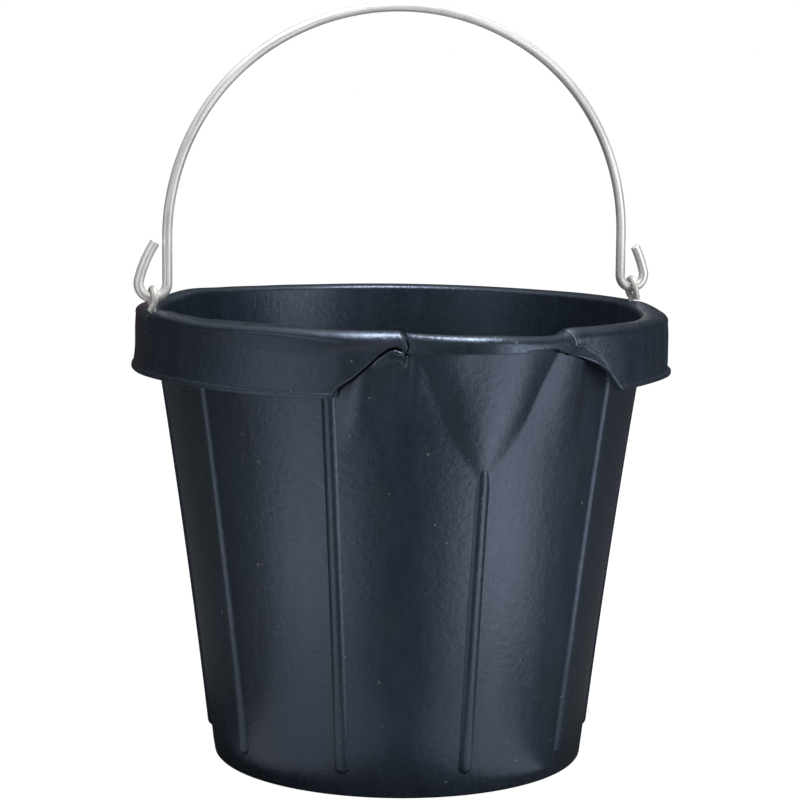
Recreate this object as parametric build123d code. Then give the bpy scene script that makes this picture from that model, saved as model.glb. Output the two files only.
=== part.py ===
"""Rubber feed bucket with a pouring spout, a hanging rim skirt and a wire bail hooked into two eye bolts.

Millimetres, +Z up. The origin is the centre of the base. The eye bolts stand on the X axis and
the spout points towards -Y.
"""

import os
from math import asin, cos, degrees, hypot, radians, sin, sqrt, tan

from build123d import *

# Wall and floor of the rubber moulding
BUCKET_HEIGHT = 293.0
BASE_RADIUS = 120.3
WALL_TOP_RADIUS = 159.8
WALL_BOW = 1.7
WALL_THICKNESS = 4.5
FLOOR_THICKNESS = 7.0
BASE_EDGE_ROUND = 2.0
FLOOR_CORNER_ROUND = 12.0

# Rolled rim and the skirt that hangs from it
RIM_OVERHANG = 3.5
RIM_OUTER_ROUND = 8.0
RIM_ROLL_DEPTH = 10.0
RIM_THICKNESS = 9.0
SKIRT_DROP = 38.8
SKIRT_THICKNESS = 5.0
SKIRT_ROOF_ROUND = 3.0
LIP_FLARE = 2.6
LIP_HEIGHT = 3.0

# Ribs on the outside of the wall
RIB_COUNT = 10
RIB_RADIUS = 5.0
RIB_HEIGHT = 2.6
RIB_FOOT = 14.0

# Pouring spout pressed out of the wall
SPOUT_HALF_WIDTH = 43.0
SPOUT_BULGE = 7.0
SPOUT_DEPTH = 92.0
SPOUT_RIB_OVERLAP = 10.0

# Pouring lip that takes the place of the rim above the spout
POUR_LIP_HALF_ANGLE = 18.5
POUR_LIP_BULGE = 6.0
POUR_LIP_DIP = 2.5
POUR_LIP_HEIGHT = 11.0
POUR_LIP_WIDTH = 19.0
POUR_LIP_OUTER_ROUND = 6.0
POUR_LIP_INNER_ROUND = 8.0
POUR_LIP_EMBED = 1.5

# Cut in the skirt on each side of the spout
CUT_ARCH_SIDE = 61.0
CUT_ARCH_RADIUS = 9.0
CUT_ARCH_BELOW_ROOF = 1.0
CUT_ARCH_START_ANGLE = 140.0
CUT_SLOPE_ANGLE = 48.0
CUT_FOOT_RADIUS = 20.0
CUT_FOOT_ANGLE = 12.0

# Eye bolts with their washers and nuts
EYE_FROM_CREST = 1.0
EYE_WIRE_DIAMETER = 4.2
EYE_NECK_RADIUS = 3.0
EYE_END_ANGLE = 42.0
EYE_SEAT_GAP = 0.3
EYE_HOLE_CLEARANCE = 0.3
BOSS_DROP = 19.0
BOSS_WIDTH = 26.0
WASHER_DIAMETER = 9.0
WASHER_THICKNESS = 0.8
NUT_SIDES = 6
NUT_ACROSS_FLATS = 7.0
NUT_HEIGHT = 3.2
THREAD_CLEARANCE = 0.05
POCKET_CLEARANCE = 0.5
THREAD_STANDOUT = 2.0

# Wire bail
BAIL_WIRE_DIAMETER = 6.4
BAIL_EYE_CLEARANCE = 0.5
BAIL_RISE = 182.3
BAIL_CROWN_TURN = 31.6
BAIL_SHOULDER_INSET = 13.1
LEFT_HOOK_RADIUS = 9.2
RIGHT_HOOK_RADIUS = 8.6
HOOK_TINE_LEAN = 23.0
LEFT_TINE_LENGTH = 24.5
RIGHT_TINE_LENGTH = 18.5

# Margins that keep cutting shapes and fused shapes clear of each other's faces
CUT_MARGIN = 5.0
FUSE_DEPTH = 1.0

# Sizes that follow from the ones above
RIM_CREST_RADIUS = WALL_TOP_RADIUS + RIM_OVERHANG
SKIRT_RADIUS = RIM_CREST_RADIUS + RIM_OUTER_ROUND
SKIRT_INNER_RADIUS = SKIRT_RADIUS - SKIRT_THICKNESS
ROOF_HEIGHT = BUCKET_HEIGHT - RIM_THICKNESS
SKIRT_FOOT = BUCKET_HEIGHT - SKIRT_DROP
POUR_LIP_TOP = BUCKET_HEIGHT - POUR_LIP_DIP
POUR_LIP_FOOT = POUR_LIP_TOP - POUR_LIP_HEIGHT
BOSS_FOOT = BUCKET_HEIGHT - BOSS_DROP
EYE_WIRE_RADIUS = EYE_WIRE_DIAMETER / 2
BAIL_WIRE_RADIUS = BAIL_WIRE_DIAMETER / 2
EYE_LOOP_RADIUS = BAIL_WIRE_RADIUS + BAIL_EYE_CLEARANCE + EYE_WIRE_RADIUS
HINGE_HEIGHT = BUCKET_HEIGHT + EYE_SEAT_GAP + EYE_LOOP_RADIUS + EYE_WIRE_RADIUS
EYE_SIDE = RIM_CREST_RADIUS + EYE_FROM_CREST
WASHER_FOOT = BOSS_FOOT - WASHER_THICKNESS
NUT_FOOT = WASHER_FOOT - NUT_HEIGHT

# The wall's outside is a shallow arc, hollow towards the outside
CHORD_RUN = WALL_TOP_RADIUS - BASE_RADIUS
CHORD_LENGTH = hypot(CHORD_RUN, BUCKET_HEIGHT)
BOW_RADIUS = ((CHORD_LENGTH / 2) ** 2 + WALL_BOW**2) / (2 * WALL_BOW)
BOW_OFFSET = BOW_RADIUS - WALL_BOW
BOW_CENTRE_RADIUS = (BASE_RADIUS + WALL_TOP_RADIUS) / 2 + BOW_OFFSET * BUCKET_HEIGHT / CHORD_LENGTH
BOW_CENTRE_HEIGHT = BUCKET_HEIGHT / 2 - BOW_OFFSET * CHORD_RUN / CHORD_LENGTH


def wall_radius(height, inset=0.0):
    """Radius of the wall's outside at a height, or of the arc that lies an inset deeper in."""
    return BOW_CENTRE_RADIUS - sqrt((BOW_RADIUS + inset) ** 2 - (height - BOW_CENTRE_HEIGHT) ** 2)


def wall_arc(low, high, inset=0.0):
    """Arc of the wall between two heights, as an edge in the XZ plane."""
    middle = (low + high) / 2
    points = [(wall_radius(height, inset), 0, height) for height in (low, middle, high)]
    return ThreePointArc(*points)


def line(start, end):
    """Straight edge in the XZ plane between two radius and height pairs."""
    return Line((start[0], 0, start[1]), (end[0], 0, end[1]))


def bend(start, end, heading):
    """Arc in the XZ plane between two radius and height pairs, leaving the first on a heading."""
    return TangentArc(
        (start[0], 0, start[1]), (end[0], 0, end[1]), tangent=(heading[0], 0, heading[1])
    )


def turned(edges):
    """Solid turned about the Z axis from edges that close in the XZ plane."""
    return revolve(make_face(edges), Axis.Z)


def plain_shell():
    """Wall, floor, rolled rim and skirt, before anything is pressed out, cut or added."""
    roll_foot = BUCKET_HEIGHT - RIM_ROLL_DEPTH
    roll_start = (wall_radius(roll_foot, WALL_THICKNESS), roll_foot)
    floor_corner = (wall_radius(FLOOR_THICKNESS, WALL_THICKNESS), FLOOR_THICKNESS)
    roof_start = (wall_radius(ROOF_HEIGHT), ROOF_HEIGHT)
    roof_end = (SKIRT_INNER_RADIUS - SKIRT_ROOF_ROUND, ROOF_HEIGHT)
    inside_top = (SKIRT_INNER_RADIUS, ROOF_HEIGHT - SKIRT_ROOF_ROUND)
    flare_top = SKIRT_FOOT + LIP_HEIGHT + LIP_FLARE
    inside_flare = (SKIRT_INNER_RADIUS, flare_top)
    inside_foot = (SKIRT_INNER_RADIUS + LIP_FLARE, SKIRT_FOOT)
    outside_foot = (SKIRT_RADIUS + LIP_FLARE, SKIRT_FOOT)
    outside_lip = (SKIRT_RADIUS + LIP_FLARE, SKIRT_FOOT + LIP_HEIGHT)
    outside_flare = (SKIRT_RADIUS, flare_top)
    outside_top = (SKIRT_RADIUS, BUCKET_HEIGHT - RIM_OUTER_ROUND)
    crest = (RIM_CREST_RADIUS, BUCKET_HEIGHT)
    edges = [
        line((0, 0), (BASE_RADIUS, 0)),
        wall_arc(0, ROOF_HEIGHT),
        line(roof_start, roof_end),
        bend(roof_end, inside_top, (1, 0)),
        line(inside_top, inside_flare),
        line(inside_flare, inside_foot),
        line(inside_foot, outside_foot),
        line(outside_foot, outside_lip),
        line(outside_lip, outside_flare),
        line(outside_flare, outside_top),
        bend(outside_top, crest, (0, 1)),
        bend(crest, roll_start, (-1, 0)),
        wall_arc(FLOOR_THICKNESS, roll_foot, WALL_THICKNESS),
        line(floor_corner, (0, FLOOR_THICKNESS)),
        line((0, FLOOR_THICKNESS), (0, 0)),
    ]
    shell = turned(edges)
    base_edge = shell.edges().filter_by(GeomType.CIRCLE).group_by(Axis.Z)[0]
    shell = fillet(base_edge, BASE_EDGE_ROUND)
    floor_edges = shell.edges().filter_by(GeomType.CIRCLE).filter_by_position(
        Axis.Z, FLOOR_THICKNESS - FUSE_DEPTH, FLOOR_THICKNESS + FUSE_DEPTH
    )
    return fillet(floor_edges, FLOOR_CORNER_ROUND)


def rib(top):
    """Half-round rib down the front of the wall, from a height to its rounded foot."""
    path = wall_arc(RIB_FOOT + RIB_RADIUS, top, RIB_RADIUS - RIB_HEIGHT)
    across = Plane(origin=path @ 0, x_dir=(0, 1, 0), z_dir=path % 0)
    round_side = CenterArc((0, 0), RIB_RADIUS, 180, 180)
    half_disc = make_face([round_side, Line(round_side @ 1, round_side @ 0)])
    bar = sweep(across * half_disc, path=path)
    flat = Plane(origin=path @ 0, z_dir=-across.y_dir)
    foot = split(Pos(path @ 0) * Sphere(RIB_RADIUS), bisect_by=flat, keep=Keep.TOP)
    return Rot(0, 0, -90) * (bar + foot)


def ribs():
    """All the ribs, evenly spaced from the one under the spout."""
    rim_top = ROOF_HEIGHT + RIM_THICKNESS / 2
    spout_top = BUCKET_HEIGHT - SPOUT_DEPTH + SPOUT_RIB_OVERLAP
    bars = [rib(spout_top)]
    for index in range(1, RIB_COUNT):
        bars.append(Rot(0, 0, index * 360 / RIB_COUNT) * rib(rim_top))
    return bars


def spout_cone():
    """Half cone that swells from its tip on the wall to the pouring lip."""
    top = POUR_LIP_FOOT + POUR_LIP_HEIGHT / 2
    tip = BUCKET_HEIGHT - SPOUT_DEPTH
    half_wall = WALL_THICKNESS / 2
    back = -sqrt(wall_radius(top, half_wall) ** 2 - SPOUT_HALF_WIDTH**2)
    front = -(wall_radius(top) + SPOUT_BULGE)
    left = (-SPOUT_HALF_WIDTH, back, top)
    right = (SPOUT_HALF_WIDTH, back, top)
    mouth = make_face([ThreePointArc(left, (0, front, top), right), Line(right, left)])
    return loft([mouth, Vertex(0, -wall_radius(tip, half_wall), tip)], ruled=True)


def sector(low, high):
    """Wedge between the two creases that bound the pouring lip."""
    reach = SKIRT_RADIUS + POUR_LIP_BULGE + CUT_MARGIN
    side = reach * tan(radians(POUR_LIP_HALF_ANGLE))
    outline = Polyline((0, 0, low), (-side, -reach, low), (side, -reach, low), close=True)
    return extrude(make_face(outline), amount=high - low, dir=(0, 0, 1))


def pouring_lip():
    """Rounded lip between the creases, bowed out further than the rim it replaces."""
    half_width = SKIRT_RADIUS * sin(radians(POUR_LIP_HALF_ANGLE))
    crease_front = SKIRT_RADIUS * cos(radians(POUR_LIP_HALF_ANGLE))
    sagitta = SKIRT_RADIUS + POUR_LIP_BULGE - crease_front
    bow = (half_width**2 + sagitta**2) / (2 * sagitta)
    centre = -(SKIRT_RADIUS + POUR_LIP_BULGE - bow)
    section = Pos(bow - POUR_LIP_WIDTH / 2, POUR_LIP_TOP - POUR_LIP_HEIGHT / 2) * Rectangle(
        POUR_LIP_WIDTH, POUR_LIP_HEIGHT
    )
    top_corners = section.vertices().group_by(Axis.Y)[-1].sort_by(Axis.X)
    section = fillet(top_corners[0], POUR_LIP_INNER_ROUND)
    outer_corner = section.vertices().sort_by(Axis.X).group_by(Axis.X)[-1].sort_by(Axis.Y)[-1]
    section = fillet(outer_corner, POUR_LIP_OUTER_ROUND)
    ring = revolve(Plane.XZ * section, Axis.Z)
    return (Pos(0, centre, 0) * ring) & sector(POUR_LIP_FOOT - CUT_MARGIN, BUCKET_HEIGHT + CUT_MARGIN)


def skirt_cut():
    """Prism that opens the skirt below the pouring lip, with an arch and a slope on each side."""
    arch_height = ROOF_HEIGHT - CUT_ARCH_BELOW_ROOF - CUT_ARCH_RADIUS
    arch_end = 90 - CUT_SLOPE_ANGLE
    arch = CenterArc(
        (CUT_ARCH_SIDE, arch_height), CUT_ARCH_RADIUS, CUT_ARCH_START_ANGLE, arch_end - CUT_ARCH_START_ANGLE
    )
    foot_drop = CUT_FOOT_RADIUS * (cos(radians(CUT_FOOT_ANGLE)) - cos(radians(CUT_SLOPE_ANGLE)))
    foot_end_height = SKIRT_FOOT - FUSE_DEPTH
    slope_drop = (arch @ 1).Y - foot_end_height - foot_drop
    slope_run = slope_drop * cos(radians(CUT_SLOPE_ANGLE)) / sin(radians(CUT_SLOPE_ANGLE))
    slope = Line(arch @ 1, arch @ 1 + Vector(slope_run, -slope_drop))
    foot = JernArc(slope @ 1, slope % 1, CUT_FOOT_RADIUS, CUT_SLOPE_ANGLE - CUT_FOOT_ANGLE)
    low = SKIRT_FOOT - CUT_MARGIN
    foot_line = Line(foot @ 1, ((foot @ 1).X, low))
    start = arch @ 0
    base = Line(foot_line @ 1, (0, low))
    middle = Line((0, low), (0, start.Y))
    head = Line((0, start.Y), start)
    half = make_face([arch, slope, foot, foot_line, base, middle, head])
    face = half + mirror(half, Plane.YZ)
    prism = extrude(Plane.XZ * face, amount=SKIRT_RADIUS + CUT_MARGIN)
    clear_radius = (wall_radius(ROOF_HEIGHT) + SKIRT_INNER_RADIUS) / 2
    keep = Pos(0, 0, low - CUT_MARGIN) * Cylinder(
        clear_radius, SKIRT_DROP + 2 * CUT_MARGIN, align=(Align.CENTER, Align.CENTER, Align.MIN)
    )
    return prism - keep


def eye_boss():
    """Solid block between wall and skirt, under the right-hand eye bolt."""
    inner = wall_radius(BOSS_FOOT) - FUSE_DEPTH
    outer = SKIRT_INNER_RADIUS + FUSE_DEPTH
    top = ROOF_HEIGHT + FUSE_DEPTH
    section = turned(
        [
            line((inner, BOSS_FOOT), (outer, BOSS_FOOT)),
            line((outer, BOSS_FOOT), (outer, top)),
            line((outer, top), (inner, top)),
            line((inner, top), (inner, BOSS_FOOT)),
        ]
    )
    slab = Pos(EYE_SIDE, 0, (BOSS_FOOT + top) / 2) * Box(2 * BOSS_WIDTH, BOSS_WIDTH, 2 * BOSS_DROP)
    return section & slab


def eye_cuts():
    """Bolt hole and washer pocket of the right-hand eye bolt."""
    hole = Pos(EYE_SIDE, 0, BOSS_FOOT - CUT_MARGIN) * Cylinder(
        EYE_WIRE_RADIUS + EYE_HOLE_CLEARANCE,
        BOSS_DROP + 2 * CUT_MARGIN,
        align=(Align.CENTER, Align.CENTER, Align.MIN),
    )
    pocket = Pos(EYE_SIDE, 0, SKIRT_FOOT - CUT_MARGIN) * Cylinder(
        WASHER_DIAMETER / 2 + POCKET_CLEARANCE,
        BOSS_FOOT - SKIRT_FOOT + CUT_MARGIN,
        align=(Align.CENTER, Align.CENTER, Align.MIN),
    )
    return hole + pocket


def bucket_shell():
    """The whole rubber moulding as one solid."""
    shell = plain_shell()
    shell += ribs()
    cone = spout_cone()
    shell += cone
    shell -= Pos(0, WALL_THICKNESS, 0) * cone
    shell -= skirt_cut()
    shell -= sector(POUR_LIP_FOOT + POUR_LIP_EMBED, BUCKET_HEIGHT + CUT_MARGIN)
    shell += pouring_lip()
    for turn in (0, 180):
        shell += Rot(0, 0, turn) * eye_boss()
        shell -= Rot(0, 0, turn) * eye_cuts()
    return shell


def eye_bolt():
    """Right-hand eye bolt: a threaded shank bent off to the back and round into an open loop."""
    lead_angle = degrees(asin(EYE_NECK_RADIUS / (EYE_NECK_RADIUS + EYE_LOOP_RADIUS)))
    neck_start = HINGE_HEIGHT - (EYE_NECK_RADIUS + EYE_LOOP_RADIUS) * cos(radians(lead_angle))
    shank_foot = NUT_FOOT - THREAD_STANDOUT
    shank = Line((0, shank_foot), (0, neck_start))
    neck = JernArc(shank @ 1, shank % 1, EYE_NECK_RADIUS, lead_angle - 90)
    loop = JernArc(neck @ 1, neck % 1, EYE_LOOP_RADIUS, 360 - lead_angle - EYE_END_ANGLE)
    path = Plane.YZ * Wire([shank, neck, loop])
    section = Plane(origin=path @ 0, z_dir=path % 0) * Circle(EYE_WIRE_RADIUS)
    return Pos(EYE_SIDE, 0, 0) * sweep(section, path=path)


def washer():
    """Right-hand washer, seated under its boss."""
    disc = Pos(EYE_SIDE, 0, WASHER_FOOT) * (
        Circle(WASHER_DIAMETER / 2) - Circle(EYE_WIRE_RADIUS + EYE_HOLE_CLEARANCE)
    )
    return extrude(disc, amount=WASHER_THICKNESS, dir=(0, 0, 1))


def nut():
    """Right-hand hexagon nut, seated under its washer."""
    hexagon = RegularPolygon(NUT_ACROSS_FLATS / 2, NUT_SIDES, major_radius=False)
    bore = Circle(EYE_WIRE_RADIUS + THREAD_CLEARANCE)
    return extrude(Pos(EYE_SIDE, 0, NUT_FOOT) * (hexagon - bore), amount=NUT_HEIGHT, dir=(0, 0, 1))


def half_bail(hook_radius, tine_length):
    """Right half of the bail, swept from the top of its arch to the end of its hook."""
    leg_side = EYE_SIDE - hook_radius
    shoulder_radius = leg_side - BAIL_SHOULDER_INSET
    crown_radius = shoulder_radius + BAIL_SHOULDER_INSET / sin(radians(BAIL_CROWN_TURN))
    crown = JernArc((0, HINGE_HEIGHT + BAIL_RISE), (1, 0), crown_radius, -BAIL_CROWN_TURN)
    shoulder = JernArc(crown @ 1, crown % 1, shoulder_radius, BAIL_CROWN_TURN - 90)
    leg = Line(shoulder @ 1, (leg_side, HINGE_HEIGHT + hook_radius))
    hook = JernArc(leg @ 1, leg % 1, hook_radius, 180 + HOOK_TINE_LEAN)
    tine = Line(hook @ 1, hook @ 1 + (hook % 1) * tine_length)
    path = Plane.XZ * Wire([crown, shoulder, leg, hook, tine])
    section = Plane(origin=path @ 0, z_dir=path % 0) * Circle(BAIL_WIRE_RADIUS)
    return sweep(section, path=path)


def bail():
    """Wire handle with an open hook at each end, standing upright."""
    right = half_bail(RIGHT_HOOK_RADIUS, RIGHT_TINE_LENGTH)
    left = half_bail(LEFT_HOOK_RADIUS, LEFT_TINE_LENGTH)
    return right + mirror(left, Plane.YZ)


def main():
    """Build every piece and write it to its own file."""
    os.makedirs("parts", exist_ok=True)
    pieces = {"bucket_shell": bucket_shell(), "bail": bail()}
    for side, turn in (("right", 0), ("left", 180)):
        pieces[f"{side}_washer"] = Rot(0, 0, turn) * washer()
        pieces[f"{side}_nut"] = Rot(0, 0, turn) * nut()
    pieces["right_eye_bolt"] = eye_bolt()
    pieces["left_eye_bolt"] = mirror(eye_bolt(), Plane.YZ)
    for node, shape in pieces.items():
        export_step(shape, f"parts/{node}.step")


main()
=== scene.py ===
"""Dressed model of a rubber bucket with a pouring spout and a wire bail.

Sizes are in millimetres and angles in degrees, until a mesh is written in metres. An azimuth is
counted from the spout, which points towards -Y, and grows towards +X. Sizes that differ to the
left and right of the spout are given as a pair, in that order.
"""

import logging
from dataclasses import dataclass, field
from enum import Enum
from math import asin, cos, degrees, hypot, pi, radians, sin, sqrt, tan
from typing import Any, NamedTuple, Sequence

import bpy
import numpy as np
from bpy.types import Material, Mesh, Node, NodeSocket, Object, World
from mathutils import Matrix, Vector


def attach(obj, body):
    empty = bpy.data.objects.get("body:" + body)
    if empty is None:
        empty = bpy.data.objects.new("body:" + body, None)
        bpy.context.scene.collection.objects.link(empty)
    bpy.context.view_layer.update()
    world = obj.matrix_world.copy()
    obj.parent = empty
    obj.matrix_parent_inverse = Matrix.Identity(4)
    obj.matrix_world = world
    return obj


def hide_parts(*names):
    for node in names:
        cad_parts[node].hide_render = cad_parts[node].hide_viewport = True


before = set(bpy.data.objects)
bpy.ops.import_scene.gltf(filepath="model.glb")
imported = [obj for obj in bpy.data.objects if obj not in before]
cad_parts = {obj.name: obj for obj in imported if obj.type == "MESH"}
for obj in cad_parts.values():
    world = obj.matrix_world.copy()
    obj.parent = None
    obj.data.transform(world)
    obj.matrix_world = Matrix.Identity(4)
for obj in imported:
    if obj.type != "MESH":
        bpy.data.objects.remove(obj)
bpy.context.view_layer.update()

LOG = logging.getLogger("bucket")
METRE = 0.001
SPAN_GUARD = 0.01
BUCKET_HEIGHT = 293.0
EYE_SIDE = 164.3
HINGE_HEIGHT = 301.2
BOSS_DROP = 19.0
LEFT_CREASE = -18.9
RIGHT_CREASE = 17.7
WHITE = (1.0, 1.0, 1.0, 1.0)
THREAD_STEPS = 36
THREAD_SIDES = 4
RIB_SIDES = 19
RIB_TAPER_START = 0.93

Colour = tuple[float, float, float, float]
Pair = tuple[float, float]
Remap = tuple[Pair, Pair]
Table = tuple[tuple[float, ...], ...]
Real = float | np.ndarray


class Body(Enum):
    """The two bodies that move against each other."""

    BUCKET = "bucket"
    BAIL = "bail"


class Slot(Enum):
    """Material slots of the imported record."""

    RUBBER = "rubber"
    BAIL_WIRE = "bail_wire"
    HARDWARE = "hardware"


class Side(Enum):
    """Which end of the X axis a piece of hardware stands at."""

    LEFT = -1
    RIGHT = 1


class Weave(Enum):
    """How the noise of a finish is stretched along the three axes."""

    HANGING = (1.0, 1.0, 0.2)
    DRAWN = (0.02, 1.0, 1.0)


class Grain(NamedTuple):
    """A noise pattern: grains along a metre, octaves of finer grain and their weight."""

    per_metre: float
    detail: float
    roughness: float = 0.55


def eased(low: float, high: float, value: float) -> float:
    """Smooth step from 0 at low to 1 at high."""
    share = min(1.0, max(0.0, (value - low) / (high - low)))
    return share * share * (3.0 - 2.0 * share)


def bell(value: Real, width: float, power: int = 2) -> Real:
    """Bell curve of height 1 about zero."""
    return np.exp(-((value / width) ** power))


def humps(rows: Table, value: Real) -> Real:
    """Sum of bell curves, each with its height, place and width."""
    return sum(height * bell(value - place, width) for height, place, width in rows)


def waves(rows: Table, turn: float, height: float = 0.0) -> float:
    """Sum of sine waves, each with its depth, count in a turn, climb and phase."""
    return sum(d * sin(count * turn + height / climb + phase) for d, count, climb, phase in rows)


def glide(rows: Table, value: float) -> np.ndarray:
    """Row of a table at a value of its first column, eased from row to row.

    Args:
        rows: Rows in growing order of their first column.
        value: Where to read the table.

    Returns:
        The other columns there.
    """
    table = np.array(rows)
    spot = min(len(table) - 1, max(1, int(np.searchsorted(table[:, 0], value))))
    low, high = table[spot - 1], table[spot]
    return (low + eased(low[0], high[0], value) * (high - low))[1:]


def level(rows: Table, value: float) -> float:
    """Second column of a table at a value of its first, eased from row to row."""
    return float(glide(rows, value)[0])


def between(first: float, second: float, share: float) -> float:
    """Mix of two numbers, by the share of the second."""
    return (1 - share) * first + share * second


def placed(name: str, data: bpy.types.ID) -> Object:
    """Put an object into the scene.

    Args:
        name: Name of the object.
        data: Mesh, lamp or camera that it shows.

    Returns:
        The object.
    """
    made = bpy.data.objects.new(name, data)
    bpy.context.scene.collection.objects.link(made)
    return made


class NodeNet:
    """Puts nodes into a tree."""

    def __init__(self, tree: bpy.types.NodeTree) -> None:
        """Start with an empty tree."""
        self.tree = tree
        tree.nodes.clear()

    def add(self, kind: str, **settings: Any) -> Node:
        """Add a node.

        Args:
            kind: Type name of the node.
            settings: Properties to set on it.

        Returns:
            The new node.
        """
        node = self.tree.nodes.new(kind)
        for key, value in settings.items():
            setattr(node, key, value)
        return node

    def link(self, source: NodeSocket, target: NodeSocket) -> None:
        """Join two sockets."""
        self.tree.links.new(source, target)

    def give(self, socket: NodeSocket, value: Any) -> None:
        """Link a socket to another, or set its value.

        Args:
            socket: Socket of a node's input.
            value: Socket or constant.
        """
        if isinstance(value, NodeSocket):
            self.link(value, socket)
        else:
            socket.default_value = value

    def feed(self, node: Node, **inputs: Any) -> Node:
        """Set or link inputs of a node.

        Args:
            node: Node to feed.
            inputs: Sockets or constants, by socket name with _ for a space.

        Returns:
            The same node.
        """
        for key, value in inputs.items():
            self.give(node.inputs[key.replace("_", " ")], value)
        return node

    def made(self, kind: str, output: str, **inputs: Any) -> NodeSocket:
        """Add a node, feed its inputs and hand on one of its outputs."""
        return self.feed(self.add(kind), **inputs).outputs[output]

    def maths(self, operation: str, first: Any, second: Any) -> NodeSocket:
        """Combine two values.

        Args:
            operation: Name of the operation.
            first: Socket or number.
            second: Socket or number.

        Returns:
            The result.
        """
        node = self.add("ShaderNodeMath", operation=operation)
        self.give(node.inputs[0], first)
        self.give(node.inputs[1], second)
        return node.outputs["Value"]

    def span(self, value: NodeSocket, source: Pair, target: tuple[Any, Any]) -> NodeSocket:
        """Map one range of a value to another, held at its ends."""
        limits = dict(zip(("From_Min", "From_Max", "To_Min", "To_Max"), (*source, *target)))
        return self.made("ShaderNodeMapRange", "Result", Value=value, **limits)


class ShaderNet(NodeNet):
    """The node tree of a material or of the world."""

    def __init__(self, owner: Material | World) -> None:
        """Start an empty tree.

        Args:
            owner: Material or world that gets it.
        """
        owner.use_nodes = True
        super().__init__(owner.node_tree)
        self.owner = owner
        kind = "World" if isinstance(owner, World) else "Material"
        self.output = self.add(f"ShaderNodeOutput{kind}").inputs["Surface"]

    def stretched(self, coords: NodeSocket, weave: Weave) -> NodeSocket:
        """Stretch coordinates before a pattern reads them."""
        return self.made("ShaderNodeMapping", "Vector", Vector=coords, Scale=weave.value)

    def noise(self, coords: NodeSocket, grain: Grain) -> NodeSocket:
        """Add a noise pattern, with values near a half."""
        kept = {"Scale": grain.per_metre, "Detail": grain.detail, "Roughness": grain.roughness}
        return self.made("ShaderNodeTexNoise", "Fac", Vector=coords, **kept)

    def attribute(self, name: str, output: str = "Fac") -> NodeSocket:
        """Read an attribute of the mesh."""
        return self.add("ShaderNodeAttribute", attribute_name=name).outputs[output]

    def ramp(self, value: NodeSocket, places: Sequence[float], *colours: Colour) -> NodeSocket:
        """Turn a value into a colour.

        Args:
            value: Value to read.
            places: Places on the ramp.
            colours: Colours at these places.

        Returns:
            The colour.
        """
        node = self.feed(self.add("ShaderNodeValToRGB"), Fac=value)
        elements = node.color_ramp.elements
        while len(elements) < len(places):
            elements.new(1.0)
        for element, place, colour in zip(elements, places, colours):
            element.position = place
            element.color = colour
        return node.outputs["Color"]

    def weighted(self, values: Sequence[NodeSocket], weights: Sequence[float]) -> NodeSocket:
        """Add up values by weight.

        Args:
            values: Values to add.
            weights: Their weights.

        Returns:
            The sum.
        """
        parts = [self.maths("MULTIPLY", value, weight) for value, weight in zip(values, weights)]
        total = parts[0]
        for part in parts[1:]:
            total = self.maths("ADD", total, part)
        return total

    def blend(self, share: NodeSocket, first: NodeSocket, second: Colour) -> NodeSocket:
        """Lay one colour over another.

        Args:
            share: How much of the second shows.
            first: Colour below.
            second: Colour on top.

        Returns:
            The mixed colour.
        """
        node = self.feed(self.add("ShaderNodeMix", data_type="RGBA"), Factor=share)
        below, above = (socket for socket in node.inputs if socket.type == "RGBA")
        self.give(below, first)
        self.give(above, second)
        return next(socket for socket in node.outputs if socket.type == "RGBA")

    def bump(self, height: NodeSocket, depth: float, **before: NodeSocket) -> NodeSocket:
        """Tilt the normal, or one bumped before, by a height pattern of a depth in millimetres."""
        size = {"Height": height, "Distance": depth * METRE}
        return self.made("ShaderNodeBump", "Normal", **size, **before)

    def surface(self, **inputs: Any) -> Material:
        """Join a surface shader with these inputs to the output, and hand on the material."""
        self.link(self.made("ShaderNodeBsdfPrincipled", "BSDF", **inputs), self.output)
        return self.owner

    def mixed(self, share: NodeSocket, first: NodeSocket, second: NodeSocket) -> None:
        """Join a mix of two shaders to the output.

        Args:
            share: How much of the second shows.
            first: One shader.
            second: The other shader.
        """
        node = self.feed(self.add("ShaderNodeMixShader"), Fac=share)
        self.link(first, node.inputs[1])
        self.link(second, node.inputs[2])
        self.link(node.outputs["Shader"], self.output)


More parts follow.
